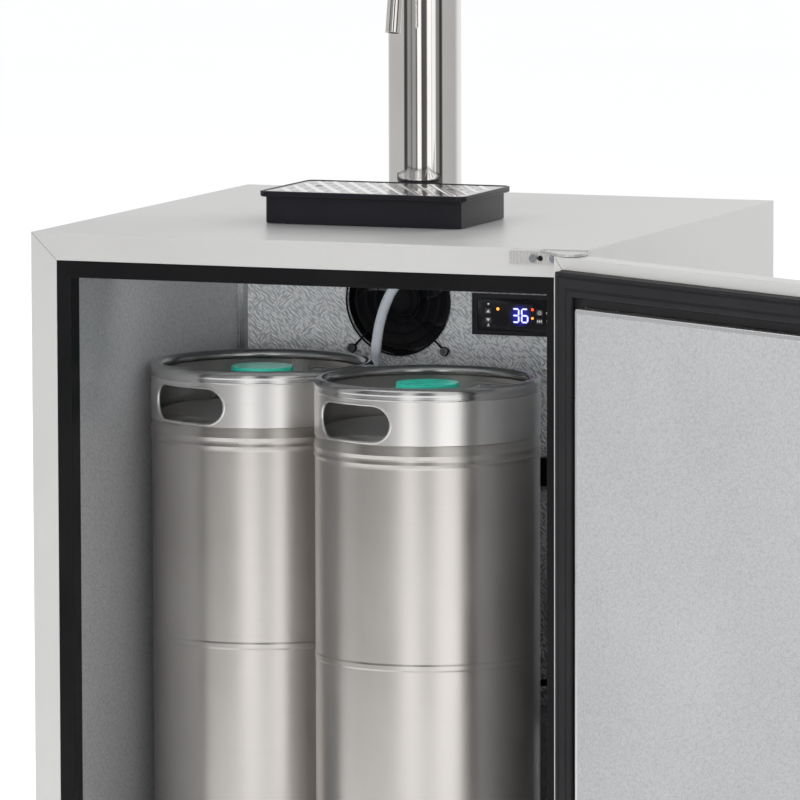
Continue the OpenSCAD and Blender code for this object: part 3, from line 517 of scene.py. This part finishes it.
def softened(node, material, width, name):
    """A copy of a CAD node with its doubles merged, its flat faces made whole and its edges rounded."""
    work = bmesh.new()
    work.from_mesh(nodes[node].data)
    bmesh.ops.remove_doubles(work, verts=work.verts, dist=2e-6)
    bmesh.ops.dissolve_limit(work, angle_limit=math.radians(1.0), verts=work.verts, edges=work.edges)
    mesh = bpy.data.meshes.new(name)
    work.to_mesh(mesh)
    work.free()
    made = settle(name, mesh, material, nodes[node]["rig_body"], (node,))
    bevel = made.modifiers.new("rounded_edges", "BEVEL")
    bevel.width = width
    bevel.segments = 2
    bevel.limit_method = "ANGLE"
    bevel.angle_limit = math.radians(40.0)
    bevel.harden_normals = True


def grid_faces(rows, columns, wrap_rows=False, wrap_columns=False):
    """Quads over a grid of points stored row by row."""
    r = np.arange(rows if wrap_rows else rows - 1)
    c = np.arange(columns if wrap_columns else columns - 1)
    r, c = np.meshgrid(r, c, indexing="ij")
    next_r = (r + 1) % rows
    next_c = (c + 1) % columns
    corners = (r * columns + c, r * columns + next_c, next_r * columns + next_c, next_r * columns + c)
    return np.stack(corners, -1).reshape(-1, 4)


def circle(steps):
    """Angles once round, the last one short of the first."""
    return np.linspace(0, ROUND, steps, endpoint=False)


def turned(profile, centre, axis, steps):
    """A closed profile (radius, height) turned about an axis: across = r cos t, up = r sin t."""
    profile = np.asarray(profile, float)
    t = circle(steps)
    r = profile[:, 0][:, None]
    h = profile[:, 1][:, None]
    a, b, c = r * np.cos(t), r * np.sin(t), h + 0 * t
    order = {"z": (a, b, c), "y": (a, c, b)}[axis]
    ring = profile[0, 0] > 1e-6 and profile[-1, 0] > 1e-6
    points = np.stack(order, -1).reshape(-1, 3) + np.asarray(centre, float)
    return points, grid_faces(len(profile), steps, ring, True)


def rounded(x0, x1, z0, z1, r, steps):
    """Corners of a rounded rectangle as arcs: centre + r (cos t, sin t), each with its outward direction."""
    t = np.radians(np.linspace(0, 90, steps + 1))
    turns = [(x1 - r, z1 - r, 0), (x0 + r, z1 - r, 90), (x0 + r, z0 + r, 180), (x1 - r, z0 + r, 270)]
    cx = np.concatenate([np.full(steps + 1, c[0]) for c in turns])
    cz = np.concatenate([np.full(steps + 1, c[1]) for c in turns])
    a = np.concatenate([t + math.radians(c[2]) for c in turns])
    return cx, cz, np.cos(a), np.sin(a)


def moulding(limits, profile, corner, steps, closed=True, cap=None):
    """A profile (inset, height) carried round a rounded rectangle; each inset moves the outline inwards.
    Points are (across, up, height). cap fills the last outline, or the first and last, with a face."""
    x0, x1, z0, z1 = limits
    rows = []
    for inset, height in profile:
        r = max(corner - inset, 0.02)
        cx, cz, ux, uz = rounded(x0 + inset, x1 - inset, z0 + inset, z1 - inset, r, steps)
        rows.append(np.stack([cx + r * ux, cz + r * uz, np.full(cx.shape, height)], -1))
    points = np.stack(rows)
    n, m = points.shape[:2]
    faces = grid_faces(n, m, closed, True).tolist()
    if cap:
        faces.append([(n - 1) * m + k for k in range(m)])
    if cap == "both":
        faces.append(list(range(m)))
    return points.reshape(-1, 3), faces


def rounded_section(corners, radius, steps):
    """A closed polygon whose corners become arcs of a quadratic curve: p = (1-t)^2 a + 2t(1-t) b + t^2 c."""
    corners = np.asarray(corners, float)
    before = np.roll(corners, 1, 0)
    after = np.roll(corners, -1, 0)
    radius = np.broadcast_to(radius, (len(corners),))
    t = np.linspace(0, 1, steps + 1)[:, None]
    out = []
    for p, b, a, r in zip(corners, before, after, radius):
        start = p + (b - p) * min(r / np.linalg.norm(b - p), 0.49)
        end = p + (a - p) * min(r / np.linalg.norm(a - p), 0.49)
        out.append((1 - t) ** 2 * start + 2 * t * (1 - t) * p + t ** 2 * end)
    return np.concatenate(out)


def spline(points, per):
    """A Catmull-Rom curve through the points, per steps to each stretch."""
    p = np.asarray(points, float)
    ends = np.vstack([p[:1], p, p[-1:]])
    a, b, c, d = ends[:-3, None], ends[1:-2, None], ends[2:-1, None], ends[3:, None]
    t = (np.arange(per) / per)[None, :, None]
    q = 0.5 * (2 * b + (c - a) * t + (2 * a - 5 * b + 4 * c - d) * t ** 2 + (3 * b - a - 3 * c + d) * t ** 3)
    return np.vstack([q.reshape(-1, 3), p[-1:]])


def tube(path, radius, sides, closed=False):
    """Circles carried along a path, each frame turned from the one before it: p + r (u cos a + v sin a)."""
    p = np.asarray(path, float)
    if closed:
        along = np.roll(p, -1, 0) - np.roll(p, 1, 0)
    else:
        along = np.gradient(p, axis=0)
    along /= np.linalg.norm(along, axis=1)[:, None]
    u = np.cross(along[0], (0.0, 0.0, 1.0) if abs(along[0][2]) < 0.9 else (1.0, 0.0, 0.0))
    us = []
    for t in along:
        u = u - t * np.dot(u, t)
        u = u / np.linalg.norm(u)
        us.append(u)
    us = np.array(us)
    vs = np.cross(along, us)
    a = circle(sides)[None, :, None]
    rings = p[:, None] + radius * (us[:, None] * np.cos(a) + vs[:, None] * np.sin(a))
    faces = grid_faces(len(p), sides, closed, True).tolist()
    if not closed:
        faces += [list(range(sides)), [(len(p) - 1) * sides + k for k in range(sides)]]
    return rings.reshape(-1, 3), faces


def prism(outline, y0, y1):
    """A flat outline (x, z) given a thickness from y0 to y1."""
    o = np.asarray(outline, float)
    n = len(o)
    points = np.concatenate([np.stack([o[:, 0], np.full(n, y), o[:, 1]], -1) for y in (y0, y1)])
    return points, grid_faces(2, n, False, True).tolist() + [list(range(n)), list(range(n, 2 * n))]


def join(*parts):
    """Several (points, faces) as one."""
    points, faces, start = [], [], 0
    for p, f in parts:
        points.append(np.asarray(p, float).reshape(-1, 3))
        faces += [[int(i) + start for i in q] for q in f]
        start += len(points[-1])
    return np.concatenate(points), faces


# ---------------------------------------------------------------- beer line

LINE_D = 11.0
LINE_ROUTE = [(-5, 66, 1082), (-5, 66, 1040), (-5, 64, 980), (-5, 61, 920), (-6, 58, 870), (-12, 57, 830),
    (-27, 59, 800), (-46, 64, 776), (-59, 69, 748), (-66, 72, 715), (-68, 73, 680), (-67, 71, 640),
    (-63, 66, 590), (-55, 57, 530), (-45, 46, 460), (-36, 37, 390), (-30, 31, 320), (-26, 28, 250),
    (-23, 26, 195), (-17, 26, 158), (-3, 27, 137), (20, 28, 129), (50, 28, 127.8), (85, 27, 127.8),
    (120, 27, 127.8), (155, 30, 127.8), (188, 38, 128), (212, 42, 132), (228, 36, 142), (232, 22, 149),
    (228, 10, 152.5), (224, 3, 153.3)]


def beer_line():
    """The vinyl line: one tube along the route, from the shank's elbow to the coupler's tail."""
    path = spline(LINE_ROUTE, 8)
    made = piece("beer_line_tube", *tube(path, LINE_D / 2, 20), M["tube"], "cabinet", ("beer_line",),
        "beer_tube", smooth=60)


beer_line()

# ---------------------------------------------------------------- CAD nodes that keep their shape

KEPT = {
    "galvanised": ("rear_panel", "bay_partition", "bay_cover"),
    "foam": ("foam_body", "door_foam"),
    "foot": ("levelling_feet",),
    "frame": ("kick_grille", "probe_cover", "power_inlet"),
    "enamel": ("base_tray", "compressor", "condenser"),
    "trim": ("corner_trims",),
    "coil": ("evaporator_coil", "condenser_fan_rotor"),
    "fan": ("fan_frame", "fan_guard", "condenser_fan_frame"),
    "screw": ("fan_screws", "cabinet_screws"),
    "chrome": ("tower_flange", "tower_column", "tower_cap", "shank", "faucet_nut", "faucet_body",
        "faucet_plunger", "faucet_lever", "coupler"),
    "handle": ("tap_handle", "coupler_lever"),
    "keg": ("left_keg_vessel", "right_keg_vessel", "left_keg_valve", "right_keg_valve"),
    "chime": ("left_keg_chimes", "right_keg_chimes"),
    "cap": ("left_keg_cap", "right_keg_cap"),
    "nylon": ("hinge_bushes",),
    "brass": ("gas_inlet",),
    "cover": ("evaporator_cover",),
    "liner": ("inner_liner",),
    "grille": ("drip_grille",),
    "key": ("button_up", "button_down", "button_set", "button_power"),
    "hinge": ("door_handle",),
}


def finish_kept_nodes():
    """Each CAD node that keeps its own mesh gets its finish in every material slot."""
    for finish, names in KEPT.items():
        for name in names:
            for each in nodes[name].material_slots:
                each.material = M[finish]


finish_kept_nodes()

# ---------------------------------------------------------------- cabinet

FLANGE_Y = -294.0
HINGE_SCREW_Z = (854.8, 86.2)
HINGE_SLOT_X = (243.7, 250.7)
HINGE_SLOT_R = 2.7


def hinge_slot_painted_shade():
    """Painted shade in each hinge plate's long slot: a thin dark plate on the slot's floor, a stadium, two
    half circles joined.
    """
    a = np.radians(np.linspace(-90, 90, 13))
    out, up = HINGE_SLOT_R * np.cos(a), HINGE_SLOT_R * np.sin(a)
    parts = []
    for level in HINGE_SCREW_Z:
        right = np.stack([HINGE_SLOT_X[1] + out, level + up], -1)
        left = np.stack([HINGE_SLOT_X[0] - out, level - up], -1)
        parts.append(prism(np.concatenate([right, left]), FLANGE_Y - 0.5, FLANGE_Y - 0.05))
    piece("hinge_slot_painted_shade", *join(*parts), M["frame"], "cabinet", (), "black_frame")


# Each CAD node that gets rounded edges: its finish, the rounding in metres and the piece's name.
softened("outer_shell", M["cabinet"], 0.0012, "cabinet_shell")
softened("breaker_frame", M["frame"], 0.0008, "breaker_moulding")
softened("controller_case", M["case"], 0.00025, "controller_bezel")
softened("upper_hinge", M["hinge"], 0.0005, "upper_hinge_plate")
softened("lower_hinge", M["hinge"], 0.0005, "lower_hinge_plate")
# Dark plates in the hinge slots: painted shade.
hinge_slot_painted_shade()
softened("door_skin", M["lip"], 0.0010, "door_shell")

# ---------------------------------------------------------------- door

PIN = np.array([289.1, -316.5, 0.0])
OPEN = math.radians(149.7)
DOOR_IN = -305.0
DOOR = (-300.0, 300.0, 81.0, 859.8)
LIP = 12.0
PANEL_IN = 47.0
PANEL_H, PANEL_EDGE = 14.0, 5.0
SKIN_R, GAP_HALF = 1.6, 0.16
# The gasket's section (inset, height): foot band, outer lobe, groove, broad face, inner lip and a tail.
GASKET = [(0.2, -1.0), (0.2, 3.0), (1.2, 6.0), (1.2, 10.2), (4.4, 10.6), (5.2, 8.6), (6.6, 8.4),
    (7.6, 10.2), (16.2, 10.6), (16.9, 8.6), (18.4, 8.6), (19.2, 10.3), (24.6, 10.0), (25.8, 7.2),
    (24.4, 2.6), (33.6, 2.2), (34.8, 1.2), (34.8, -1.0)]


def swung(points):
    """Points of the closed door turned about its pins to where it stands open."""
    c, s = math.cos(OPEN), math.sin(OPEN)
    p = np.asarray(points, float) - PIN
    return np.stack([c * p[:, 0] - s * p[:, 1], s * p[:, 0] + c * p[:, 1], p[:, 2]], -1) + PIN


def on_door(points):
    """(across, up, height above the flange) to the closed door's frame, then swung open."""
    p = np.asarray(points, float)
    return swung(np.stack([p[:, 0], DOOR_IN + p[:, 2], p[:, 1]], -1))


def inset(limits, g):
    return limits[0] + g, limits[1] - g, limits[2] + g, limits[3] - g


def door_gasket():
    """Magnetic gasket: its section, with rounded corners, carried round the door."""
    points, faces = moulding(inset(DOOR, LIP), rounded_section(GASKET, 0.8, 3), 3.0, 4)
    piece("gasket_moulding", on_door(points), faces, M["rubber"], "door", ("door_gasket",), "rubber",
        smooth=50)


def door_panel():
    """Inner panel: a plain edge that rises and turns over two rounds, and a stucco field a little lower."""
    low, high = (0.0, -1.0), (PANEL_EDGE, PANEL_H)
    steps = 5
    section = rounded_section([low, (0.0, PANEL_H - 2.0), (1.2, PANEL_H), high], [0.0, 2.0, 1.4, 0.0], steps)
    rounds = section[steps + 1:-steps - 1]
    limits = inset(DOOR, PANEL_IN)
    points, faces = moulding(limits, np.concatenate([[low], rounds, [high]]), 4.0, 6, closed=False)
    piece("panel_edge", on_door(points), faces, M["trim"], "door", ("door_panel",), "smooth_aluminium",
        close=False)
    dip = [high, (PANEL_EDGE + 0.6, PANEL_H - 0.25), (PANEL_EDGE + 1.4, PANEL_H - 0.3)]
    points, faces = moulding(limits, dip, 4.0, 6, closed=False, cap="last")
    piece("panel_field", on_door(points), faces, M["panel"], "door", (), "stucco_aluminium", close=False)


def door_seams():
    """The flange's mitre at each corner of the door: a fine dark strip from its edge to the gasket."""
    x0, x1, z0, z1 = DOOR
    parts = []
    for x, z, sx, sz in ((x0, z0, 1, 1), (x1, z0, -1, 1), (x0, z1, 1, -1), (x1, z1, -1, -1)):
        a = np.array([x + sx * SKIN_R, z + sz * SKIN_R])
        b = np.array([x + sx * LIP, z + sz * LIP])
        side = np.array([sz, -sx]) * GAP_HALF
        parts.append(prism([a + side, b + side, b - side, a - side], DOOR_IN - 0.3, DOOR_IN + 0.06))
    points, faces = join(*parts)
    piece("door_mitres", swung(points), faces, M["frame"], "door", (), "cabinet_steel")


door_gasket()
door_panel()
door_seams()

# ---------------------------------------------------------------- drip tray

TRAY = (-116.5, 109.5, -134.0, 10.0)
TRAY_Z = 864.0
# The tray's section (inset, height, round at that corner), from its foot over the rim and down inside.
TRAY_SECTION = [(6.0, 0.2, 1.2), (6.0, 27.6, 1.0), (1.0, 27.8, 0.6), (0.0, 29.0, 0.8), (0.0, 33.6, 0.6),
    (1.4, 34.0, 0.6), (2.6, 33.9, 0.5), (3.0, 31.6, 0.4), (8.8, 31.4, 0.8), (9.2, 30.0, 0.6),
    (9.4, 4.6, 1.6), (11.0, 3.0, 1.0)]


def drip_tray():
    """Tray: a foot, a wall, an overhanging rim with a fine raised edge, a ledge for the grille and an inside
    wall down to the floor; the section stops in its last corner, where the floor is filled."""
    section = np.array(TRAY_SECTION)
    profile = rounded_section(section[:, :2], section[:, 2], 4)[:-3]
    points, faces = moulding(TRAY, profile, 10.0, 8, closed=False, cap="both")
    placed = points + np.array([0.0, 0.0, TRAY_Z])
    piece("drip_tray_moulding", placed, faces, M["tray"], "tray", ("drip_tray",), "tray_plastic", smooth=40)


drip_tray()

RIB_TURN = math.radians(-60.0)
RIB_PITCH = 15.6
RIB_HALF, RIB_H, RIB_FADE = 3.4, 0.75, 5.0
RIB_Z, RIB_UNDER_Z = TRAY_Z + 33.25, TRAY_Z + 33.1
RIB_ROWS = 8
RIM_W, RIB_END, SHORTEST_RIB = 9.0, 2.0, 12.0


def grille_ribs():
    """Raised ribs: each a low mound along its own line through the tray, clipped a little inside the rim,
    height = RIB_H (1 - w^2) across, and both its height and its width fade towards its ends."""
    middle = np.array([(TRAY[0] + TRAY[1]) / 2, (TRAY[2] + TRAY[3]) / 2])
    half = np.array([(TRAY[1] - TRAY[0]) / 2, (TRAY[3] - TRAY[2]) / 2]) - RIM_W
    along = np.array([math.cos(RIB_TURN), math.sin(RIB_TURN)])
    over = np.array([-math.sin(RIB_TURN), math.cos(RIB_TURN)])
    w = np.linspace(-1, 1, 9)[None, :]
    t = np.linspace(0, 1, 25)[:, None]
    parts = []
    for k in range(-RIB_ROWS, RIB_ROWS):
        start = over * RIB_PITCH * (k + 0.5)
        reach = [sorted(((-half[a] - start[a]) / along[a], (half[a] - start[a]) / along[a])) for a in (0, 1)]
        low = max(r[0] for r in reach) + RIB_END
        high = min(r[1] for r in reach) - RIB_END
        if high - low < SHORTEST_RIB:
            continue
        u = low + (high - low) * t
        fade = np.clip(np.minimum(u - low, high - u) / RIB_FADE, 0.0, 1.0)
        width = RIB_HALF * (0.35 + 0.65 * np.sqrt(fade))
        flat = (middle + start)[None, None] + u[..., None] * along + (w * width)[..., None] * over
        top = np.concatenate([flat, (RIB_Z + RIB_H * (1 - w ** 2) * fade)[..., None]], -1)
        parts.append(slab_under(top, RIB_UNDER_Z))
    # The ribs take the lighter copy of the grille steel: a painted highlight.
    piece("grille_ribs", *join(*parts), M["rib"], "grille", (), "grille_steel", smooth=60)


def slab_under(top, level):
    """A grid of points closed by a flat copy of itself at a level and by walls round its edge."""
    n, m = top.shape[:2]
    bottom = top.copy()
    bottom[..., 2] = level
    sheet = grid_faces(n, m).tolist()
    under = [[n * m + q for q in f[::-1]] for f in sheet]
    edge = [r * m for r in range(n)] + [(n - 1) * m + c for c in range(1, m)]
    edge += [r * m + m - 1 for r in range(n - 2, -1, -1)] + list(range(m - 2, 0, -1))
    sides = [[a, b, b + n * m, a + n * m] for a, b in zip(edge, edge[1:] + edge[:1])]
    return np.concatenate([top.reshape(-1, 3), bottom.reshape(-1, 3)]), sheet + under + sides


grille_ribs()

# ---------------------------------------------------------------- controller face

FACE_Y, KEY_Y = 154.2, 153.5
DIGIT_Z, DIGIT_W, DIGIT_H, SEGMENT = 740.0, 6.6, 14.0, 1.7
SEGMENT_GAP = 0.25
LIT = {3: "abcdg", 6: "acdefg"}
# Each lamp: its name, middle, radius, how far it stands out and its light.
LAMPS = (
    ("running_lamp", 40.4, 753.4, 1.5, 0.0, "amber_light"),
    ("alarm_lamp", 79.2, 753.8, 1.35, 0.05, "red_light"),
    ("cooling_lamp", 79.2, 744.6, 1.25, 0.05, "amber_light"),
)


def disc(x, z, r, y0, y1, hole=0.0, start=0.0, sweep=360.0):
    """A flat disc, or a ring or part of one, with a thickness."""
    a = np.radians(start + np.linspace(0, sweep, 24, endpoint=sweep < 360))
    outer = np.stack([x + r * np.cos(a), z + r * np.sin(a)], -1)
    if not hole:
        return prism(outer, y0, y1)
    inner = np.stack([x + hole * np.cos(a), z + hole * np.sin(a)], -1)
    if sweep < 360:
        return prism(np.concatenate([outer, inner[::-1]]), y0, y1)
    walls = ((outer, y0), (outer, y1), (inner, y1), (inner, y0))
    rows = np.stack([np.stack([o[:, 0], np.full(len(o), y), o[:, 1]], -1) for o, y in walls])
    return rows.reshape(-1, 3), grid_faces(4, len(a), True, True)


def box(x, z, w, h, y0, y1):
    """A flat bar centred on (x, z)."""
    left, right, low, high = x - w / 2, x + w / 2, z - h / 2, z + h / 2
    return prism([(left, low), (right, low), (right, high), (left, high)], y0, y1)


def digit(which, x, y0, y1):
    """A seven-segment digit: pointed bars along the sides and across, lit where the digit needs them."""
    low, mid, top, far = DIGIT_Z, DIGIT_Z + DIGIT_H / 2, DIGIT_Z + DIGIT_H, x + DIGIT_W
    bars = {"a": ((x, top), (far, top)), "b": ((far, mid), (far, top)), "c": ((far, low), (far, mid)),
        "d": ((x, low), (far, low)), "e": ((x, low), (x, mid)), "f": ((x, mid), (x, top)),
        "g": ((x, mid), (far, mid))}
    parts = []
    for key in LIT[which]:
        a, b = np.array(bars[key][0]), np.array(bars[key][1])
        u = (b - a) / np.linalg.norm(b - a)
        n = np.array([-u[1], u[0]]) * SEGMENT / 2
        a, b = a + u * SEGMENT_GAP, b - u * SEGMENT_GAP
        point = u * SEGMENT / 2
        parts.append(prism([a, a + point + n, b - point + n, b, b - point - n, a + point - n], y0, y1))
    return join(*parts)


def on_window(name, shape, finish):
    piece(name, *shape, M[finish], "cabinet", (), "black_frame")


def on_key(name, shape, body):
    piece(name, *shape, M["print"], body, (), "key_plastic")


def window_plates():
    """Digits, lamps, marks and a painted glow of the display's window: each a thin plate on it."""
    y0, y1 = FACE_Y - 0.16, FACE_Y + 0.1
    on_window("display_digits", join(digit(3, 57.2, y0, y1), digit(6, 67.2, y0, y1)), "digits")
    # Painted glow behind the digits.
    on_window("display_painted_glow", box(65.4, 747.0, 28.0, 24.0, FACE_Y - 0.06, y1), "haze")
    for name, x, z, r, lift, finish in LAMPS:
        on_window(name, disc(x, z, r, y0 - lift, y1), finish)
    left, right = 29.8, 96.2
    marks = join(disc(left, 758.3, 1.0, y0, y1), box(left, 734.9, 2.8, 0.7, y0, y1),
        box(left, 736.6, 1.4, 1.4, y0, y1), disc(right - 0.2, 750.6, 1.4, y0, y1, 0.8),
        box(right, 742.6, 2.6, 0.7, y0, y1), box(right, 740.9, 2.6, 0.7, y0, y1))
    on_window("window_marks", marks, "print")


def key_marks():
    """Plain marks on the keys: two arrow heads, three bars, and a ring open at the top with a bar in it."""
    y0, y1 = KEY_Y - 0.08, KEY_Y + 0.1
    on_key("up_mark", prism([(27.8, 749.3), (31.8, 749.3), (29.8, 752.6)], y0, y1), "up_key")
    on_key("down_mark", prism([(27.8, 743.0), (29.8, 739.7), (31.8, 743.0)], y0, y1), "down_key")
    x = 87.4
    on_key("set_mark", join(*[box(x + d, 741.7, 1.3, 2.2, y0, y1) for d in (-2.0, 0.0, 2.0)]), "set_key")
    ring = disc(x, 750.7, 2.1, y0, y1, 1.4, 120.0, 300.0)
    on_key("power_mark", join(ring, box(x, 752.2, 0.7, 2.4, y0, y1)), "power_key")


window_plates()
key_marks()

# ---------------------------------------------------------------- fan rotor

FAN = (-74.0, 166.4, 758.0)
HUB_R, HUB_H = 20.0, 15.0
BLADES = 7


def fan_rotor():
    """Hub: a cup with a rounded edge turned about Y. Blades: a thin leaf section whose chord twists and
    sweeps as it runs out, angle = start + chord share x 0.8 + outward share x 0.45."""
    cup = [(0.0, 0.0), (HUB_R, 0.0), (HUB_R, HUB_H), (2.5, HUB_H), (2.5, 20.4), (0.0, 20.4)]
    parts = [turned(rounded_section(cup, [0, 3.0, 0.5, 0, 0.3, 0], 5), FAN, "y", 64)]
    s = np.linspace(0, 1, 9)[:, None]
    t = np.concatenate([np.linspace(0, 1, 9), np.linspace(1, 0, 9)[1:-1]])[None, :]
    side = np.concatenate([np.ones(9), -np.ones(7)])[None, :]
    thick = 0.35 + 0.5 * np.sin(math.pi * t)
    for k in range(BLADES):
        angle = ROUND * k / BLADES + 0.8 * t + 0.45 * s
        radius = 19.2 + 35.0 * s + 0 * t
        depth = 1.4 + 11.6 * t + 1.6 * np.sin(math.pi * t) * (1 - 0.4 * s) + side * thick
        blade = np.stack([radius * np.cos(angle), depth, radius * np.sin(angle)], -1) + np.array(FAN)
        n, m = blade.shape[:2]
        ends = [list(range(m)), [(n - 1) * m + i for i in range(m)]]
        parts.append((blade.reshape(-1, 3), grid_faces(n, m, False, True).tolist() + ends))
    piece("fan_impeller", *join(*parts), M["fan"], "fan_rotor_body", ("fan_rotor",), "black_frame",
        smooth=40)


fan_rotor()

# ---------------------------------------------------------------- kegs

RIM_Z = 715.3
WALL_R = 115.4
KEGS = {"left_keg": (-138.2, -68.9), "right_keg": (77.9, -156.3)}
# The rim's beads (over the wall, under the rim's top), down to where the profile turns back under the roll.
BEADS = np.array([(0.15, -8.3), (0.6, -9.3), (0.15, -10.3), (0.6, -11.4), (0.3, -12.6), (-0.6, -13.6),
    (-1.0, -10.0), (-11.0, -9.4)])
HOLE_HALF, HOLE_R, HOLE_Z = 29.0, 19.3, -36.5
HOLE_TURN, LIP_R = -113.1, 1.9


def rim_roll(body, at):
    """The rolled top rim, most of a circle, with two fine beads under it, turned about the keg; its steel is
    painted darker than the chime's, as painted shade.
    """
    a = np.radians(np.arange(-10, 200, 10))
    roll = np.stack([109.6 + 6.5 * np.cos(a), -6.2 + 6.7 * np.sin(a)], -1)[::-1]
    profile = np.concatenate([roll, BEADS + (WALL_R, 0.0)])
    points, faces = turned(profile, (*at, RIM_Z), "z", 160)
    piece(body + "_rim_roll", points, faces, M["rolled"], body, (), "chime_steel", smooth=70)


def hole_lips(body, at):
    """A rolled lip round each hand hole, a tube: a stadium on the chime's cylinder, x = sqrt(R^2 - y^2)."""
    t = np.radians(np.linspace(-90, 90, 17))
    run = np.linspace(HOLE_HALF, -HOLE_HALF, 14)[1:-1]
    out, up = HOLE_R * np.cos(t), HOLE_R * np.sin(t)
    y = np.concatenate([HOLE_HALF + out, run, -HOLE_HALF - out, -run])
    z = np.concatenate([up, HOLE_R + 0 * run, -up, -HOLE_R + 0 * run]) + RIM_Z + HOLE_Z
    x = np.sqrt((WALL_R - 1.3) ** 2 - y ** 2)
    parts = []
    for turn in (0.0, 180.0):
        c, s = math.cos(math.radians(turn + HOLE_TURN)), math.sin(math.radians(turn + HOLE_TURN))
        path = np.stack([at[0] + x * c - y * s, at[1] + x * s + y * c, z], -1)
        parts.append(tube(path, LIP_R, 12, closed=True))
    piece(body + "_hole_lips", *join(*parts), M["chime"], body, (), "chime_steel", smooth=80)


for keg_body, keg_place in KEGS.items():
    rim_roll(keg_body, keg_place)
    hole_lips(keg_body, keg_place)

# ---------------------------------------------------------------- floor and light

FLOOR_R, FLOOR_Z = 70.0, -0.0005
SCREEN_R, SCREEN_SIDES = 2.2, 144
SCREEN_LOW, SCREEN_MIDDLE, SCREEN_HIGH = 0.0, 0.52, 2.6
BRIGHTEST = 2.0
# The screens' brightness by the compass angle from -Y towards +X, in degrees.
LOW_STOPS = [(-180, 0.8), (-120, 0.55), (-80, 0.5), (-62, 0.62), (-50, 0.46), (-38, 0.48), (-12, 0.6),
    (-4, 1.0), (1, 1.85), (11, 1.75), (17, 0.85), (25, 0.85), (31, 1.75), (58, 1.95), (62, 0.5),
    (100, 0.3), (130, 0.55), (180, 0.8)]
HIGH_STOPS = [(-180, 0.9), (-150, 0.85), (-128, 0.54), (-51, 0.54), (-48, 0.05), (-38, 0.07), (-36, 0.36),
    (-25, 0.30), (-22, 0.10), (-19, 0.38), (-8, 0.34), (-6, 0.08), (-4, 0.10), (-2, 1.2), (9, 1.2),
    (11, 0.08), (27, 0.11), (29, 1.15), (41, 1.2), (43, 0.55), (45, 1.15), (55, 1.0), (57, 0.28),
    (67, 0.24), (69, 0.04), (77, 0.06), (80, 0.50), (132, 0.48), (150, 0.85), (180, 0.9)]
# Each light: where it hangs, what it points at, its size and its power.
LIGHTS = {
    "key_light": ((-3.0, -4.6, 4.6), (0.0, 0.0, 0.7), (3.0, 3.0), 90.0),
    "front_light": ((0.5, -5.6, 0.95), (0.0, 0.0, 0.6), (1.8, 0.9), 165.0),
    "back_light": ((3.0, 3.8, 3.4), (0.0, 0.0, 0.6), (3.0, 3.0), 240.0),
    "inside_light": ((0.02, -0.20, 0.80), (0.02, 0.163, 0.68), (0.4, 0.05), 0.45),
}


def studio_world():
    """Pale air all round, a little cooler high up."""
    world = bpy.data.worlds.new("studio_air")
    world.use_nodes = True
    bpy.context.scene.world = world
    g = Graph(world.node_tree)
    z = g.split(g.node("TexCoord").outputs["Generated"])[2]
    back = world.node_tree.nodes["Background"]
    g.put(back.inputs["Color"], g.mix(g.span(z, -0.2, 0.5), rgb(1.0, 1.0, 1.0), rgb(0.97, 0.98, 1.0)))
    back.inputs["Strength"].default_value = 1.05


def staged(name, points, faces, material):
    """A piece of the studio, given in metres."""
    mesh = bpy.data.meshes.new(name)
    mesh.from_pydata(points.tolist(), [], faces)
    mesh.materials.append(material)
    made = bpy.data.objects.new(name, mesh)
    bpy.context.scene.collection.objects.link(made)
    return made


def studio_floor():
    """A wide pale disc, a little uneven."""
    f = Finish("studio_floor", Roughness=0.7, Specular_IOR_Level=0.1)
    f.colour(f.mix(f.noise(f.place, 0.6, 2.0), rgb(0.955, 0.955, 0.955), rgb(0.975, 0.975, 0.975)))
    t = circle(64)
    points = np.stack([FLOOR_R * np.cos(t), FLOOR_R * np.sin(t), np.full(64, FLOOR_Z)], -1)
    staged("studio_floor", points, [list(range(64))], f.material)


def studio_screen(name, low, high, stops):
    """One tier of studio panels and flags round the object: an open cylinder whose brightness goes by the
    compass angle. Bright steel mirrors it; nothing else sees it, and it takes no light away."""
    f = Finish(name, Roughness=1.0, Specular_IOR_Level=0.0, Emission_Strength=BRIGHTEST)
    f.colour(rgb(0.0, 0.0, 0.0))
    x, y, z = f.split(f.place)
    turn = f.math("DIVIDE", f.math("ARCTAN2", x, f.times(y, -1.0)), ROUND)
    ramp = f.node("ValToRGB")
    for k, (angle, level) in enumerate(stops):
        spot = (angle + 180) / 360
        stop = ramp.color_ramp.elements[k] if k < 2 else ramp.color_ramp.elements.new(spot)
        stop.position = spot
        stop.color = rgb(*[level / BRIGHTEST] * 3)
    f.put(ramp.inputs[0], f.plus(turn, 0.5))
    f.put(f.bsdf.inputs["Emission Color"], ramp.outputs[0])
    t = circle(SCREEN_SIDES)
    x, y = SCREEN_R * np.sin(t), -SCREEN_R * np.cos(t)
    rows = [np.stack([x, y, np.full(SCREEN_SIDES, level)], -1) for level in (low, high)]
    faces = grid_faces(2, SCREEN_SIDES, False, True).tolist()
    screen = staged(name, np.concatenate(rows), faces, f.material)
    for kind in ("camera", "diffuse", "shadow", "transmission", "volume_scatter"):
        setattr(screen, "visible_" + kind, False)


def studio_lights():
    """A soft key from the upper left, lights in front and behind, and a faint strip in the compartment."""
    for name, (place, target, size, power) in LIGHTS.items():
        lamp = bpy.data.lights.new(name, "AREA")
        lamp.shape = "RECTANGLE"
        lamp.size, lamp.size_y = size
        lamp.energy = power
        lit = bpy.data.objects.new(name, lamp)
        lit.location = place
        lit.rotation_euler = (Vector(target) - Vector(place)).to_track_quat("-Z", "Y").to_euler()
        lit.visible_glossy = False
        bpy.context.scene.collection.objects.link(lit)


studio_world()
studio_floor()
studio_screen("low_screen", SCREEN_LOW, SCREEN_MIDDLE, LOW_STOPS)
studio_screen("high_screen", SCREEN_MIDDLE, SCREEN_HIGH, HIGH_STOPS)
studio_lights()
bpy.context.scene.view_settings.view_transform = "Standard"
